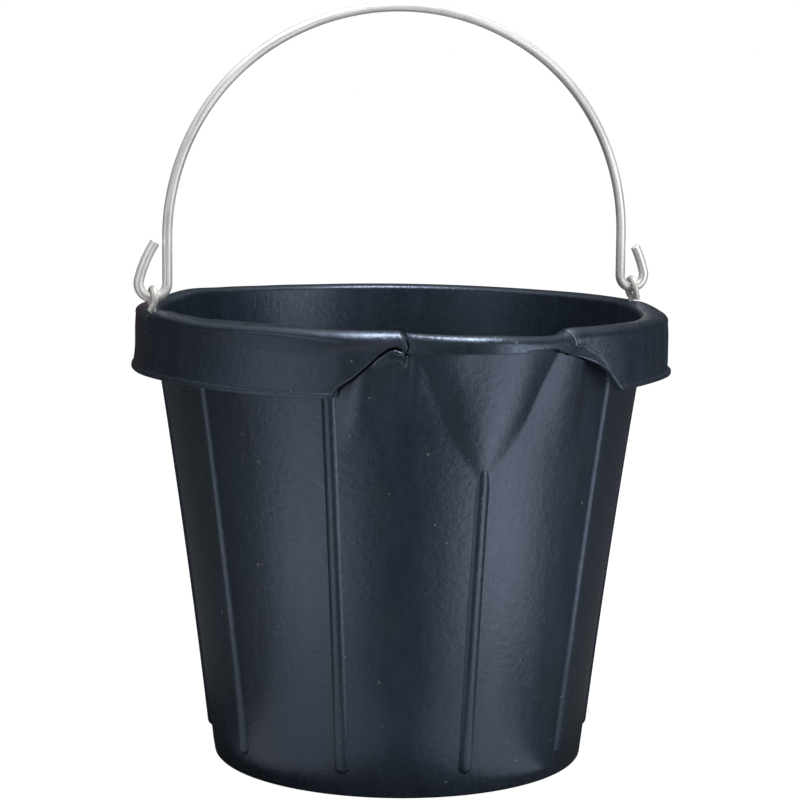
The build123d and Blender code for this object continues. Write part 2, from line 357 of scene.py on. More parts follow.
@dataclass(frozen=True)
class RubberFinish:
    """Moulded blue-black rubber: satin, pitted, with flow marks, dust, rust and painted shade."""

    name: str = "moulded_rubber"
    dark: Colour = (0.0040, 0.0080, 0.0145, 1.0)
    middle: Colour = (0.0065, 0.0118, 0.0200, 1.0)
    pale: Colour = (0.0105, 0.0165, 0.0270, 1.0)
    green_tint: Colour = (0.0045, 0.0125, 0.0150, 1.0)
    scuff: Colour = (0.050, 0.056, 0.070, 1.0)
    dust: Colour = (0.15, 0.15, 0.17, 1.0)
    flash: Colour = (0.26, 0.27, 0.30, 1.0)
    rust: Colour = (0.070, 0.0120, 0.0175, 1.0)
    painted_shade: Colour = (0.0030, 0.0028, 0.0030, 1.0)
    pits: Grain = Grain(900.0, 3.0, 0.6)
    peel: Grain = Grain(260.0, 2.0)
    flow: Grain = Grain(110.0, 5.0, 0.62)
    cloud: Grain = Grain(14.0, 3.0)
    grit: Grain = Grain(260.0, 1.0)
    tone_mix: Pair = (0.6, 0.4)
    tone_places: tuple[float, ...] = (0.36, 0.52, 0.68)
    tint_range: Remap = ((0.50, 0.68), (0.0, 0.8))
    rust_range: Remap = ((0.36, 0.56), (0.3, 1.0))
    scuff_range: Remap = ((0.48, 0.64), (0.0, 0.8))
    dust_range: Remap = ((0.775, 0.805), (0.0, 0.8))
    pit_depth: float = 0.085
    peel_depth: float = 0.27
    shine_mix: Pair = (0.5, 0.5)
    gloss_range: Remap = ((0.38, 0.62), (0.36, 0.44))
    dulling: float = 0.06
    painted_shade_dulling: float = 0.3
    specular: float = 1.0
    specular_tint: Colour = (0.62, 0.74, 1.0, 1.0)

    def colour(self, net: ShaderNet, coords: NodeSocket, flow: NodeSocket) -> NodeSocket:
        """Colour with flow marks, stains, dust and painted shade.

        Args:
            net: Tree that gets the nodes.
            coords: Coordinates of the surface.
            flow: Flow marks of the moulding.

        Returns:
            The colour.
        """
        pits, cloud, grit = (net.noise(coords, kind) for kind in (self.pits, self.cloud, self.grit))
        tone = net.weighted((flow, pits), self.tone_mix)
        stain = net.span(flow, *self.rust_range)
        rub = net.span(pits, *self.scuff_range)
        layers = (
            (net.span(cloud, *self.tint_range), self.green_tint),
            (net.maths("MULTIPLY", net.attribute("rust"), stain), self.rust),
            (net.maths("MULTIPLY", net.attribute("edge_wear"), rub), self.scuff),
            # painted shade: near-black in the groove under the rolled rim and round the left eye's
            # pocket
            (net.attribute("painted_shade"), self.painted_shade),
            (net.span(grit, *self.dust_range), self.dust),
            (net.attribute("flash"), self.flash),
        )
        colour = net.ramp(tone, self.tone_places, self.dark, self.middle, self.pale)
        for share, layer in layers:
            colour = net.blend(share, colour, layer)
        return colour

    def material(self) -> Material:
        """Build the material.

        Returns:
            The finished material.
        """
        net = ShaderNet(bpy.data.materials.new(self.name))
        coords = net.made("ShaderNodeTexCoord", "Object")
        flow = net.noise(net.stretched(coords, Weave.HANGING), self.flow)
        peel, pits = net.noise(coords, self.peel), net.noise(coords, self.pits)
        shine = net.span(net.weighted((flow, peel), self.shine_mix), *self.gloss_range)
        dull = net.span(net.attribute("dull"), (-1.0, 1.0), (-self.dulling, self.dulling))
        # painted shade mask, which also makes these spots rougher
        painted_shade = net.attribute("painted_shade")
        return net.surface(
            Base_Color=self.colour(net, coords, flow),
            Roughness=net.weighted((shine, dull, painted_shade), (1.0, 1.0, self.painted_shade_dulling)),
            Normal=net.bump(pits, self.pit_depth, Normal=net.bump(peel, self.peel_depth)),
            Specular_IOR_Level=self.specular,
            Specular_Tint=self.specular_tint,
        )


@dataclass(frozen=True)
class WireFinish:
    """Drawn steel wire: satin, with streaks and smudges that run along it."""

    name: str
    dull: Colour
    bright: Colour
    smudge: Colour
    metallic: float = 0.4
    streaks: Grain = Grain(900.0, 4.0, 0.6)
    specks: Grain = Grain(900.0, 2.0)
    smudges: Grain = Grain(38.0, 4.0)
    tone_places: Pair = (0.34, 0.62)
    smudge_range: Remap = ((0.54, 0.74), (0.0, 0.75))
    gloss_mix: Pair = (0.6, 0.4)
    gloss_range: Remap = ((0.36, 0.66), (0.42, 0.58))
    bump_mix: Pair = (0.7, 0.3)
    bump_depth: float = 0.05

    def material(self) -> Material:
        """Build the material.

        Returns:
            The finished material.
        """
        net = ShaderNet(bpy.data.materials.new(self.name))
        run = net.attribute("wire_run", "Vector")
        streaks = net.noise(net.stretched(run, Weave.DRAWN), self.streaks)
        smudges, specks = net.noise(run, self.smudges), net.noise(run, self.specks)
        base = net.ramp(streaks, self.tone_places, self.dull, self.bright)
        return net.surface(
            Base_Color=net.blend(net.span(smudges, *self.smudge_range), base, self.smudge),
            Roughness=net.span(net.weighted((streaks, smudges), self.gloss_mix), *self.gloss_range),
            Normal=net.bump(net.weighted((streaks, specks), self.bump_mix), self.bump_depth),
            Metallic=self.metallic,
        )


@dataclass(frozen=True)
class PlateFinish:
    """Zinc-plated steel of the nuts and washers: grey, spangled, a little tarnished."""

    name: str = "zinc_plate"
    dull: Colour = (0.36, 0.36, 0.35, 1.0)
    bright: Colour = (0.62, 0.62, 0.60, 1.0)
    tarnished: Colour = (0.26, 0.23, 0.19, 1.0)
    metallic: float = 1.0
    spangle: Grain = Grain(700.0, 3.0)
    tarnish: Grain = Grain(260.0, 4.0)
    tone_places: Pair = (0.38, 0.62)
    tarnish_range: Remap = ((0.52, 0.72), (0.0, 0.8))
    gloss_range: Remap = ((0.36, 0.66), (0.28, 0.50))
    bump_depth: float = 0.02

    def material(self) -> Material:
        """Build the material.

        Returns:
            The finished material.
        """
        net = ShaderNet(bpy.data.materials.new(self.name))
        coords = net.made("ShaderNodeTexCoord", "Object")
        spangle, tarnish = net.noise(coords, self.spangle), net.noise(coords, self.tarnish)
        base = net.ramp(spangle, self.tone_places, self.dull, self.bright)
        return net.surface(
            Base_Color=net.blend(net.span(tarnish, *self.tarnish_range), base, self.tarnished),
            Roughness=net.span(tarnish, *self.gloss_range),
            Normal=net.bump(spangle, self.bump_depth),
            Metallic=self.metallic,
        )


@dataclass
class WirePath:
    """Path that runs ahead and turns in a plane, with a girth at each point."""

    place: Matrix
    heading: float = 0.0
    step: float = 3.0
    points: list[tuple[float, float, float]] = field(default_factory=list)
    girth: list[float] = field(default_factory=list)

    def reach(self, point: tuple[float, float, float], girth: float = 1.0) -> "WirePath":
        """Go straight to a point of the plane, or off it by the third number.

        Args:
            point: Where to go.
            girth: Girth there.

        Returns:
            This path.
        """
        self.points.append(point)
        self.girth.append(girth)
        return self

    def ahead(self, length: float, pieces: int = 1, girth: float = 1.0) -> "WirePath":
        """Run straight on.

        Args:
            length: How far.
            pieces: Steps to divide the run into.
            girth: Girth at the new points.

        Returns:
            This path.
        """
        x, y, off = self.points[-1]
        way = radians(self.heading)
        for index in range(1, pieces + 1):
            run = length * index / pieces
            self.reach((x + run * cos(way), y + run * sin(way), off), girth)
        return self

    def turn(self, radius: float, angle: float, drift: float = 0.0) -> "WirePath":
        """Turn on an arc.

        Args:
            radius: Radius of the arc.
            angle: How far it turns, to the left where it is positive.
            drift: How far it leaves the plane on the way.

        Returns:
            This path.
        """
        bend = radius if angle > 0 else -radius
        x, y, off = self.points[-1]
        centre_x = x - bend * sin(radians(self.heading))
        centre_y = y + bend * cos(radians(self.heading))
        pieces = max(2, round(abs(angle) / self.step))
        for index in range(1, pieces + 1):
            share = index / pieces
            way = radians(self.heading + angle * share)
            aside = off + drift * eased(0.0, 1.0, share)
            self.reach((centre_x + bend * sin(way), centre_y - bend * cos(way), aside))
        self.heading += angle
        return self

    def cut_end(self, bevel: float, wire: float) -> "WirePath":
        """Bevel the free end of the wire.

        Args:
            bevel: Length of the bevel.
            wire: Radius of the wire.

        Returns:
            This path.
        """
        x, y, off = self.points.pop()
        self.girth.pop()
        way = radians(self.heading)
        self.reach((x - bevel * cos(way), y - bevel * sin(way), off))
        return self.reach((x, y, off), 1.0 - bevel / wire)

    def mesh(self, name: str) -> Mesh:
        """Write the path as a chain of edges.

        Args:
            name: Name of the mesh.

        Returns:
            The mesh, in metres, with a girth attribute.
        """
        line = bpy.data.meshes.new(name)
        points = [self.place @ (Vector(point) * METRE) for point in self.points]
        line.from_pydata(points, [(i, i + 1) for i in range(len(points) - 1)], [])
        line.attributes.new("girth", "FLOAT", "POINT").data.foreach_set("value", self.girth)
        return line


def upright_plane(across: Sequence[float], side: float = 0.0) -> Matrix:
    """Matrix that puts a flat path into an upright plane.

    Args:
        across: Direction of the path's first axis, while its second points up.
        side: Place of its origin along X, in millimetres.

    Returns:
        The matrix, in metres.
    """
    first, up = Vector(across), Vector((0.0, 0.0, 1.0))
    place = Matrix((first, up, first.cross(up))).transposed().to_4x4()
    place.translation = (side * METRE, 0.0, 0.0)
    return place


class TreeNet(NodeNet):
    """A geometry-node tree with named inputs, which makes plain meshes of paths."""

    def __init__(self, name: str) -> None:
        """Start a tree that reads a path as a curve.

        Args:
            name: Name of the tree.
        """
        super().__init__(bpy.data.node_groups.new(name, "GeometryNodeTree"))
        self.sockets: dict[str, str] = {}
        self.socket("Path", "INPUT", "Geometry")
        self.socket("Piece", "OUTPUT", "Geometry")
        self.source = self.add("NodeGroupInput").outputs
        self.result = self.add("NodeGroupOutput").inputs
        self.curve = self.made("GeometryNodeMeshToCurve", "Curve", Mesh=self.source["Path"])

    def socket(self, name: str, way: str, kind: str) -> None:
        """Add a socket to the tree's interface and keep its identifier."""
        made = self.tree.interface.new_socket(name, in_out=way, socket_type=f"NodeSocket{kind}")
        self.sockets[name] = made.identifier

    def value(self, name: str, kind: str = "Float") -> NodeSocket:
        """Add a named input and hand on the socket to link from."""
        self.socket(name, "INPUT", kind)
        return self.source[name]

    def named(self, name: str) -> NodeSocket:
        """Read a number that the path carries."""
        node = self.add("GeometryNodeInputNamedAttribute", data_type="FLOAT")
        return self.feed(node, Name=name).outputs["Attribute"]

    def captured(self, geometry: NodeSocket, kind: str, value: NodeSocket) -> list[NodeSocket]:
        """Keep a value on a geometry before it changes.

        Args:
            geometry: What keeps the value.
            kind: Type of the value.
            value: What is kept.

        Returns:
            The geometry and the kept value.
        """
        node = self.add("GeometryNodeCaptureAttribute")
        node.capture_items.new(kind, "Kept")
        self.feed(node, Geometry=geometry, Kept=value)
        return [node.outputs["Geometry"], node.outputs["Kept"]]

    def sweep(self, path: NodeSocket, profile: NodeSocket, **scale: NodeSocket) -> NodeSocket:
        """Sweep a closed profile along a curve and cap its ends."""
        curves = {"Curve": path, "Profile_Curve": profile}
        return self.made("GeometryNodeCurveToMesh", "Mesh", Fill_Caps=True, **curves, **scale)

    def finish(self, parts: Sequence[NodeSocket], material: Material) -> None:
        """End the tree: join its parts, realize, shade smooth and set the material.

        Args:
            parts: What the tree has made.
            material: Material it gets.
        """
        joined = self.add("GeometryNodeJoinGeometry")
        for part in parts:
            self.link(part, joined.inputs["Geometry"])
        geometry = joined.outputs["Geometry"]
        for kind in ("RealizeInstances", "SetShadeSmooth"):
            geometry = self.made(f"GeometryNode{kind}", "Geometry", Geometry=geometry)
        dress = {"Geometry": geometry, "Material": material}
        self.link(self.made("GeometryNodeSetMaterial", "Geometry", **dress), self.result["Piece"])

    def mesh(self, name: str, path: WirePath, values: dict[str, Any]) -> Mesh:
        """Run the tree on a path.

        Args:
            name: Name of the mesh.
            path: Path that goes in.
            values: Values of the named inputs.

        Returns:
            A plain mesh with the tree's result.
        """
        line = path.mesh(f"{name}_path")
        host = placed(line.name, line)
        modifier = host.modifiers.new("shape", "NODES")
        modifier.node_group = self.tree
        for key, value in values.items():
            modifier[self.sockets[key]] = value
        depsgraph = bpy.context.evaluated_depsgraph_get()
        made = bpy.data.meshes.new_from_object(
            host.evaluated_get(depsgraph), preserve_all_data_layers=True, depsgraph=depsgraph
        )
        made.name = name
        host.modifiers.remove(modifier)
        bpy.data.objects.remove(host)
        bpy.data.meshes.remove(line)
        return made


def wire_tree(name: str, material: Material, threaded: bool) -> TreeNet:
    """Tree that draws round wire along a path, with a thread round its first end where asked.

    Args:
        name: Name of the tree.
        material: Material of the wire.
        threaded: Whether a thread is cut on the first end.

    Returns:
        The tree.
    """
    net = TreeNet(name)
    radius, sides = net.value("Wire Radius"), net.value("Wire Sides", "Int")
    length = net.made("GeometryNodeSplineParameter", "Length")
    path, along = net.captured(net.curve, "FLOAT", length)
    circle = net.made("GeometryNodeCurvePrimitiveCircle", "Curve", Resolution=sides, Radius=radius)
    spot = net.made("GeometryNodeInputPosition", "Position")
    profile, around = net.captured(circle, "VECTOR", spot)
    wire = net.sweep(path, profile, Scale=net.named("girth"))
    split = net.feed(net.add("ShaderNodeSeparateXYZ"), Vector=around).outputs
    run = net.made("ShaderNodeCombineXYZ", "Vector", X=along, Y=split["X"], Z=split["Y"])
    kept = net.add("GeometryNodeStoreNamedAttribute", data_type="FLOAT_VECTOR", domain="POINT")
    parts = [net.feed(kept, Geometry=wire, Name="wire_run", Value=run).outputs["Geometry"]]
    if threaded:
        parts.append(thread_ridge(net))
    net.finish(parts, material)
    return net


def thread_ridge(net: TreeNet) -> NodeSocket:
    """Add the ridge of a screw thread to a tree.

    Args:
        net: Tree that gets it.

    Returns:
        The ridge.
    """
    names = ("Thread Turns", "Thread Core", "Thread Height", "Thread Ridge")
    turns, core, height, ridge = (net.value(name) for name in names)
    foot = net.value("Thread Foot", "Vector")
    spiral = net.made(
        "GeometryNodeCurveSpiral",
        "Curve",
        Resolution=THREAD_STEPS,
        Rotations=turns,
        Start_Radius=core,
        End_Radius=core,
        Height=height,
    )
    upright = net.add("GeometryNodeSetCurveNormal", mode="Z_UP")
    path = net.feed(upright, Curve=spiral).outputs["Curve"]
    kept = {"Resolution": THREAD_SIDES, "Radius": ridge}
    swept = net.sweep(path, net.made("GeometryNodeCurvePrimitiveCircle", "Curve", **kept))
    return net.made("GeometryNodeTransform", "Geometry", Geometry=swept, Translation=foot)


def rib_tree(material: Material) -> TreeNet:
    """Tree that sweeps one half-round rib and repeats it round the wall, shorter at the spout.

    Args:
        material: Material of the ribs.

    Returns:
        The tree.
    """
    net = TreeNet("wall_ribs")
    count, radius = net.value("Rib Count", "Int"), net.value("Rib Radius")
    front, taper = net.value("Front Rib Share"), net.value("Front Rib Taper")
    facing = net.add("GeometryNodeSetCurveNormal", mode="FREE")
    path = net.feed(facing, Curve=net.curve, Normal=(-1.0, 0.0, 0.0)).outputs["Curve"]
    arc = net.add("GeometryNodeCurveArc", mode="RADIUS")
    net.feed(arc, Resolution=RIB_SIDES, Radius=radius, Start_Angle=0.0, Sweep_Angle=pi)
    loop = {"Geometry": arc.outputs["Curve"], "Cyclic": True}
    half_round = net.made("GeometryNodeSetSplineCyclic", "Geometry", **loop)
    girth = net.named("girth")

    index = net.made("GeometryNodeInputIndex", "Index")
    others = net.add("FunctionNodeCompare", data_type="INT", operation="GREATER_THAN")
    net.link(index, others.inputs[2])
    angle = net.maths("MULTIPLY", net.maths("DIVIDE", index, count), 2.0 * pi)
    ring = net.made(
        "GeometryNodeInstanceOnPoints",
        "Instances",
        Points=net.made("GeometryNodePoints", "Points", Count=count),
        Selection=others.outputs["Result"],
        Instance=net.sweep(path, half_round, Scale=girth),
        Rotation=net.made("ShaderNodeCombineXYZ", "Vector", Z=angle),
    )
    trim = net.add("GeometryNodeTrimCurve", mode="FACTOR")
    short = net.feed(trim, Curve=path, End=front).outputs["Curve"]
    share = net.made("GeometryNodeSplineParameter", "Factor")
    thinned = net.maths("MULTIPLY", girth, net.span(share, (RIB_TAPER_START, 1.0), (1.0, taper)))
    net.finish((ring, net.sweep(short, half_round, Scale=thinned)), material)
    return net


def grid_mesh(name: str, rings: np.ndarray, closed: bool) -> Mesh:
    """Mesh of quads over rings of points.

    Args:
        name: Name of the mesh.
        rings: Points by ring and place in the ring, in millimetres.
        closed: Whether each ring closes on itself. An open ring starts and ends in a pole.

    Returns:
        The mesh, in metres, closed round the rings.
    """
    inner = rings if closed else rings[:, 1:-1]
    count, width = inner.shape[:2]
    verts = inner.reshape(-1, 3)
    this = np.arange(count)[:, None] * width
    ahead = np.roll(this, -1, axis=0)
    here = np.arange(width if closed else width - 1)[None, :]
    there = (here + 1) % width
    quads = np.stack([this + here, ahead + here, ahead + there, this + there], axis=-1)
    faces = quads.reshape(-1, 4).tolist()
    if not closed:
        first_pole, last_pole, end = len(verts), len(verts) + 1, width - 1
        verts = np.vstack([verts, rings[0, 0], rings[0, -1]])
        for one, two in zip(this[:, 0].tolist(), ahead[:, 0].tolist()):
            faces += [[first_pole, two, one], [one + end, two + end, last_pole]]
    made = bpy.data.meshes.new(name)
    made.from_pydata((verts * METRE).tolist(), [], faces)
    made.validate()
    made.polygons.foreach_set("use_smooth", [True] * len(made.polygons))
    return made


def put(mesh: Mesh, name: str, material: Material, body: Body, node: str) -> Object:
    """Make a piece of a finished mesh and tie it to the frame.

    Args:
        mesh: Mesh of the piece, in place.
        name: Name of the piece.
        material: Material it gets.
        body: Body it rides on.
        node: Solid that it stands for.

    Returns:
        The piece.
    """
    mesh.materials.clear()
    mesh.materials.append(material)
    piece = placed(name, mesh)
    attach(piece, body.value)
    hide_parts(node)
    LOG.info("%s: %d faces on %s", name, len(mesh.polygons), body.value)
    return piece


class Station(NamedTuple):
    """Point of a section, with what the finish needs to know there."""

    radius: float
    height: float
    wear: float = 0.0
    dull: float = 0.0
    skew: float = 0.0


@dataclass
class RimCut:
    """What the rim looks like at one azimuth: shares, radii, heights and roundings."""

    azimuth: float
    pour: float = 0.0
    plain: float = 0.0
    outer: float = 0.0
    flush: float = 0.0
    top: float = 0.0
    round_off: float = 0.0
    foot: float = 0.0
    roof: float = 0.0
    inside: float = 0.0
    flare: float = 0.0
    soft: float = 0.0
    lip: float = 0.0
    edge: float = 0.0
    rise: float = 0.0
    bevel: float = 0.0
    ledge: float = 0.0
    curve: float = 0.0
    swell: float = 0.0
    swell_depth: float = 0.0
    roll: float = 0.0

    def __post_init__(self) -> None:
        """Note the side of the spout, by its place in a pair, and the distance from the eye."""
        self.side = int(self.azimuth > 0)
        self.turn = radians(self.azimuth)
        self.away = abs(self.azimuth)
        self.near_eye = abs(self.away - 90.0)


@dataclass
class Moulding:
    """The rubber moulding: wall, floor, rolled rim, skirt, spout and pouring lip.

    A span is a range of azimuths over which a form comes in. A bell has a height, an azimuth and a
    width. A wave has a depth, a count in a turn, a climb and a phase.
    """

    height: float = BUCKET_HEIGHT
    base_radius: float = 120.3
    wall_top_radius: float = 159.8
    wall_bow: float = 1.7
    wall: float = 4.5
    wall_start: float = 8.0
    floor: float = 7.0
    base_round: float = 2.0
    floor_round: float = 12.0
    floor_inset: float = 0.6
    wall_waves: Table = (
        (0.13, 3.0, 90.0, 1.3), (0.091, 5.0, -55.0, 0.4),
        (0.0455, 11.0, 23.0, 0.0), (0.039, 17.0, -31.0, 2.0),
    )
    bands: Table = (
        (-180.0, -96.0, 1.5), (-96.0, -84.0, 0.35), (-84.0, -36.0, 1.5), (-36.0, -20.4, 0.3),
        (-20.4, -17.8, 0.09), (-17.8, 16.6, 0.5), (16.6, 19.2, 0.09), (19.2, 36.0, 0.3),
        (36.0, 84.0, 1.5), (84.0, 96.0, 0.35), (96.0, 180.0, 1.5),
    )

    skirt_radius: float = 171.0
    skirt_length: float = 30.2
    skirt_least: float = 0.8
    skirt_wall: float = 5.0
    skirt_bells: Table = ((1.5, 66.0, 18.0),)
    tuck_in: Pair = (5.0, 2.0)
    tuck_spans: Table = ((33.0, 20.5), (34.0, 19.0))
    thickening: Pair = (4.0, 5.0)
    thick_spans: Table = ((38.0, 31.0), (29.0, 21.0))
    edge_sag: float = 1.2
    edge_sag_lean: float = 0.9
    edge_bells: Table = ((1.0, -32.0, 40.0),)
    edge_waves: Table = ((0.25, 9.0, 1.0, 0.0),)
    edge_round: float = 0.9
    edge_lip: float = 3.0
    cut_lip: float = 1.6
    lip_shares: tuple[float, float, float] = (0.8, 1.25, 2.4)
    lip_undercut: float = 0.08
    side_flare: Pair = (2.8, 2.1)
    front_flare: float = 1.0
    back_flare: float = 2.4
    cut_flare: float = 0.5
    soft_flare: float = 0.75
    flare_limit: float = 5.0
    flare_reach: float = 17.0
    flare_spans: Table = ((40.0, 66.0), (38.0, 60.0))
    back_span: Pair = (115.0, 150.0)
    plain_spans: Table = ((31.9, 34.0), (30.0, 32.0))
    cuts: tuple[Table, Table] = (
        (
            (18.7, 15.2), (19.5, 10.9), (21.0, 9.5), (22.6, 11.0), (24.4, 14.5),
            (26.2, 19.7), (29.7, 28.7), (31.9, 33.0), (33.0, 34.8), (33.6, 38.8),
        ),
        (
            (17.6, 17.8), (19.0, 17.9), (20.5, 18.6), (22.0, 19.6), (24.0, 21.6), (26.0, 24.2),
            (28.0, 28.8), (29.2, 32.8), (30.0, 35.6), (30.8, 37.6), (31.6, 38.8),
        ),
    )
    cut_slope_step: float = 0.3
    cut_steepest: float = 2.2
    right_bevel: Table = (
        (17.6, 6.5, 7.8), (20.5, 7.0, 8.0), (24.0, 6.5, 5.8), (28.0, 2.0, 1.4), (30.0, 0.9, 0.9),
    )
    bevel_limits: Pair = (0.7, 0.85)
    bevel_groove: float = 1.0
    bevel_groove_at: Pair = (0.92, 0.06)
    bevel_steps: tuple[float, ...] = (0.84, 0.92, 1.0)
    skirt_steps: tuple[float, ...] = (
        0.1, 0.3, 1.2, 1.8, 2.4, 2.9, 3.3, 3.8, 4.6, 6.0, 8.0, 10.5, 13.5, 17.0, 20.5, 24.0, 27.5,
    )
    bevel_shine: float = 0.6
    pour_shine: float = 0.35
    edge_wear: float = 0.35
    edge_wear_reach: float = 2.5
    foot_wear: float = 0.1
    foot_dull: float = 0.3

    rim_drop: float = 0.5
    rim_round: float = 8.0
    side_rim_round: float = 5.6
    side_spans: Table = ((32.0, 48.0), (150.0, 110.0))
    rim_waves: Table = ((0.3, 2.0, 1.0, 0.8), (0.15, 5.0, 1.0, 0.0))
    rim_sag: Table = (
        (-180.0, -0.8), (-165.0, -1.2), (-152.0, -1.9), (-140.0, -2.8), (-124.0, -0.3),
        (-116.0, -0.2), (-99.0, -1.8), (-92.0, 0.0), (-88.5, 0.0), (-84.5, -2.6), (-78.0, -2.0),
        (-65.0, -0.3), (-44.0, -0.3), (-24.0, 0.0), (-3.0, 0.0), (14.0, 2.8), (15.0, 2.8),
        (18.2, 1.4), (28.0, 1.5), (56.0, 2.4), (72.0, 2.2), (88.0, 0.0), (92.0, 0.0),
        (115.0, -0.4), (150.0, -0.8), (180.0, -0.8),
    )
    rim_lift: Table = ((-80.0, 0.0), (-72.0, 0.6), (-62.0, 1.7), (-47.0, 1.5), (-33.0, 0.0))
    crest_lift: float = 0.2
    crest_lift_span: Pair = (60.0, 90.0)
    rim_groove: float = 0.5
    groove_bells: Table = ((2.0, -42.0, 18.0),)
    groove_reach: float = 11.0
    groove_lean: float = 14.0
    roll_wear: float = 0.25
    roll_skew: float = 0.55
    roll_skew_lean: float = 85.0
    roll_shine: float = 1.9
    roll_shine_span: Pair = (8.0, 34.0)
    rough_bells: Table = ((1.0, RIGHT_CREASE, 2.2), (0.9, -30.0, 3.0))
    flat_shine: float = 0.7
    inner_shine: float = 0.9
    inner_wear: float = 0.2
    inner_round: float = 3.2
    inner_drop: float = 0.6
    roof_depth: float = 9.0
    roof_bells: Table = ((3.0, LEFT_CREASE - 2.2, 2.2), (3.0, RIGHT_CREASE + 2.0, 2.0))
    roof_gap: float = 0.3
    roof_start: float = 1.2
    roof_fillet: float = 2.0
    roof_corner: float = 2.6
    least_reach: float = 2.5

    left_crease: float = LEFT_CREASE
    right_crease: float = RIGHT_CREASE
    crease_depth: float = 1.3
    crease_drop: float = 0.8
    crease_widths: Pair = (0.17, 0.9)
    crease_shares: Pair = (1.0, 0.15)
    crease_skews: Table = ((1.0, LEFT_CREASE, 2.5), (0.9, RIGHT_CREASE, 2.5))
    joint_width: float = 2.2
    bead_end: float = 1.3
    bead_drop: float = 1.1
    bead_tuck: float = 0.5
    lip_end_drop: float = 0.33
    lip_end_tuck: float = 0.2
    pour_bulge: float = 5.8
    pour_dip: float = 2.4
    pour_side_dip: float = 1.0
    pour_drop: float = 13.4
    pour_step: float = 1.3
    pour_step_span: Pair = (4.3, 5.7)
    pour_round: float = 6.0
    pour_wall: float = 3.0
    pour_roof: float = 0.5
    lip_tuck_in: Pair = (5.0, 2.2)
    lip_flap: float = 3.6
    lip_flap_span: Pair = (12.0, 16.5)

    spout_slope: float = 0.178
    spout_tip: float = 94.0
    spout_margin: float = 4.0
    spout_half_angle: float = 60.0
    spout_soft: float = 0.3
    spout_crown: Table = (
        (20.0, 2.0, 3.6), (44.0, 2.0, 3.2), (70.0, 1.8, 1.6), (94.0, 1.6, 1.4),
    )
    spout_edge: Table = (
        (0.0, 51.0), (19.0, 41.7), (36.0, 34.0), (53.0, 27.0),
        (68.0, 19.2), (78.0, 12.6), (86.0, 6.4), (94.0, 0.5),
    )
    ledges: Table = (
        (-35.0, 0.0, 1.5, 0.4, 0.6), (-26.0, 0.5, 1.9, 0.8, 1.2), (-22.4, 0.7, 2.2, 1.3, 2.2),
        (-20.4, 0.85, 2.6, 1.5, 3.0), (-19.2, 1.0, 3.0, 1.4, 2.6), (-18.0, 1.0, 3.3, -0.2, 0.2),
        (-2.0, 0.0, 3.3, -0.2, 0.2), (30.0, 0.0, 3.3, 0.4, 0.4),
    )
    ledge_drop: Pair = (46.0, 75.0)
    ledge_over: float = 0.3
    ledge_fine: float = 12.0
    swell_depth: float = 12.5
    swell_follows_cut: float = -22.0
    right_swell: Table = ((10.0, 0.0), (21.0, 4.2), (23.0, 4.0), (28.0, 0.0))
    roll_drop: float = 7.5
    roll_stand: float = 3.4
    roll_spans: Table = ((-26.5, -22.4), (-18.5, -19.3))

    boss_drop: float = BOSS_DROP
    boss_span: Pair = (4.9, 4.5)
    pocket_radius: float = 5.0
    eye_side: float = EYE_SIDE
    eye_dent: float = 0.5
    eye_dent_width: float = 1.4
    rib_count: int = 10
    rib_radius: float = 5.0
    rib_height: float = 2.6
    rib_foot: float = 14.0
    rib_top: float = 286.0
    front_rib_top: float = 211.0
    front_rib_taper: float = 0.66

    rust_at: Pair = (-104.0, 8.0)
    rust_drop: float = 60.0
    # Painted shade: darker round the left eye's pocket and in the groove under the rolled rim.
    eye_painted_shade: float = 1.6
    eye_shade_at: Pair = (-88.8, 2.2)
    eye_shade_out: Pair = (4.8, 3.2)
    eye_shade_drop: float = 12.0
    groove_painted_shade: float = 0.8
    groove_shade_at: Pair = (-40.0, 22.0)
    groove_shade_drop: Pair = (9.0, 2.6)
    flash_at: Pair = (RIGHT_CREASE - 0.1, 0.11)
    flash_drops: Pair = (11.0, 2.0)

    def __post_init__(self) -> None:
        """Work out the arc of the wall and the circle of the pouring lip."""
        run = self.wall_top_radius - self.base_radius
        chord = hypot(run, self.height)
        self.bow_radius = ((chord / 2) ** 2 + self.wall_bow**2) / (2 * self.wall_bow)
        offset = self.bow_radius - self.wall_bow
        self.bow_centre = (
            (self.base_radius + self.wall_top_radius) / 2 + offset * self.height / chord,
            self.height / 2 - offset * run / chord,
        )
        half = radians((self.right_crease - self.left_crease) / 2)
        sagitta = self.skirt_radius * (1 - cos(half)) + self.pour_bulge
        half_width = self.skirt_radius * sin(half)
        self.pour_circle = (half_width**2 + sagitta**2) / (2 * sagitta)
        self.pour_centre = self.skirt_radius + self.pour_bulge - self.pour_circle
        self.crest_radius = self.skirt_radius - self.rim_round
        self.spout_low = self.height - self.spout_tip - self.spout_margin

    def azimuths(self) -> np.ndarray:
        """Azimuths of the sections over one turn, closer where the shape changes quickly."""
        runs = [np.linspace(a, b, round((b - a) / c), endpoint=False) for a, b, c in self.bands]
        return np.concatenate(runs)

    def wall_radius(self, height: float, inset: float = 0.0) -> float:
        """Radius of the wall's outside at a height, or of the arc an inset deeper in."""
        centre_radius, centre_height = self.bow_centre
        return centre_radius - sqrt((self.bow_radius + inset) ** 2 - (height - centre_height) ** 2)

    def spout_swell(self, azimuth: float, height: float) -> float:
        """How far the spout stands out of the wall.

        Args:
            azimuth: Azimuth of the section.
            height: Height on the wall.

        Returns:
            The distance, soft at the spout's edge.
        """
        depth, soft = self.height - height, self.spout_soft
        if depth > self.spout_tip or abs(azimuth) > self.spout_half_angle:
            return 0.0
        half = float(np.interp(depth, *zip(*self.spout_edge)))
        across = abs(self.wall_radius(height) * sin(radians(azimuth))) / half
        crown = glide(self.spout_crown, depth)[int(azimuth > 0)]
        swell = self.spout_slope * half * (1.0 - across**crown)
        return (swell + hypot(swell, soft)) / 2 if swell > -10 * soft else 0.0

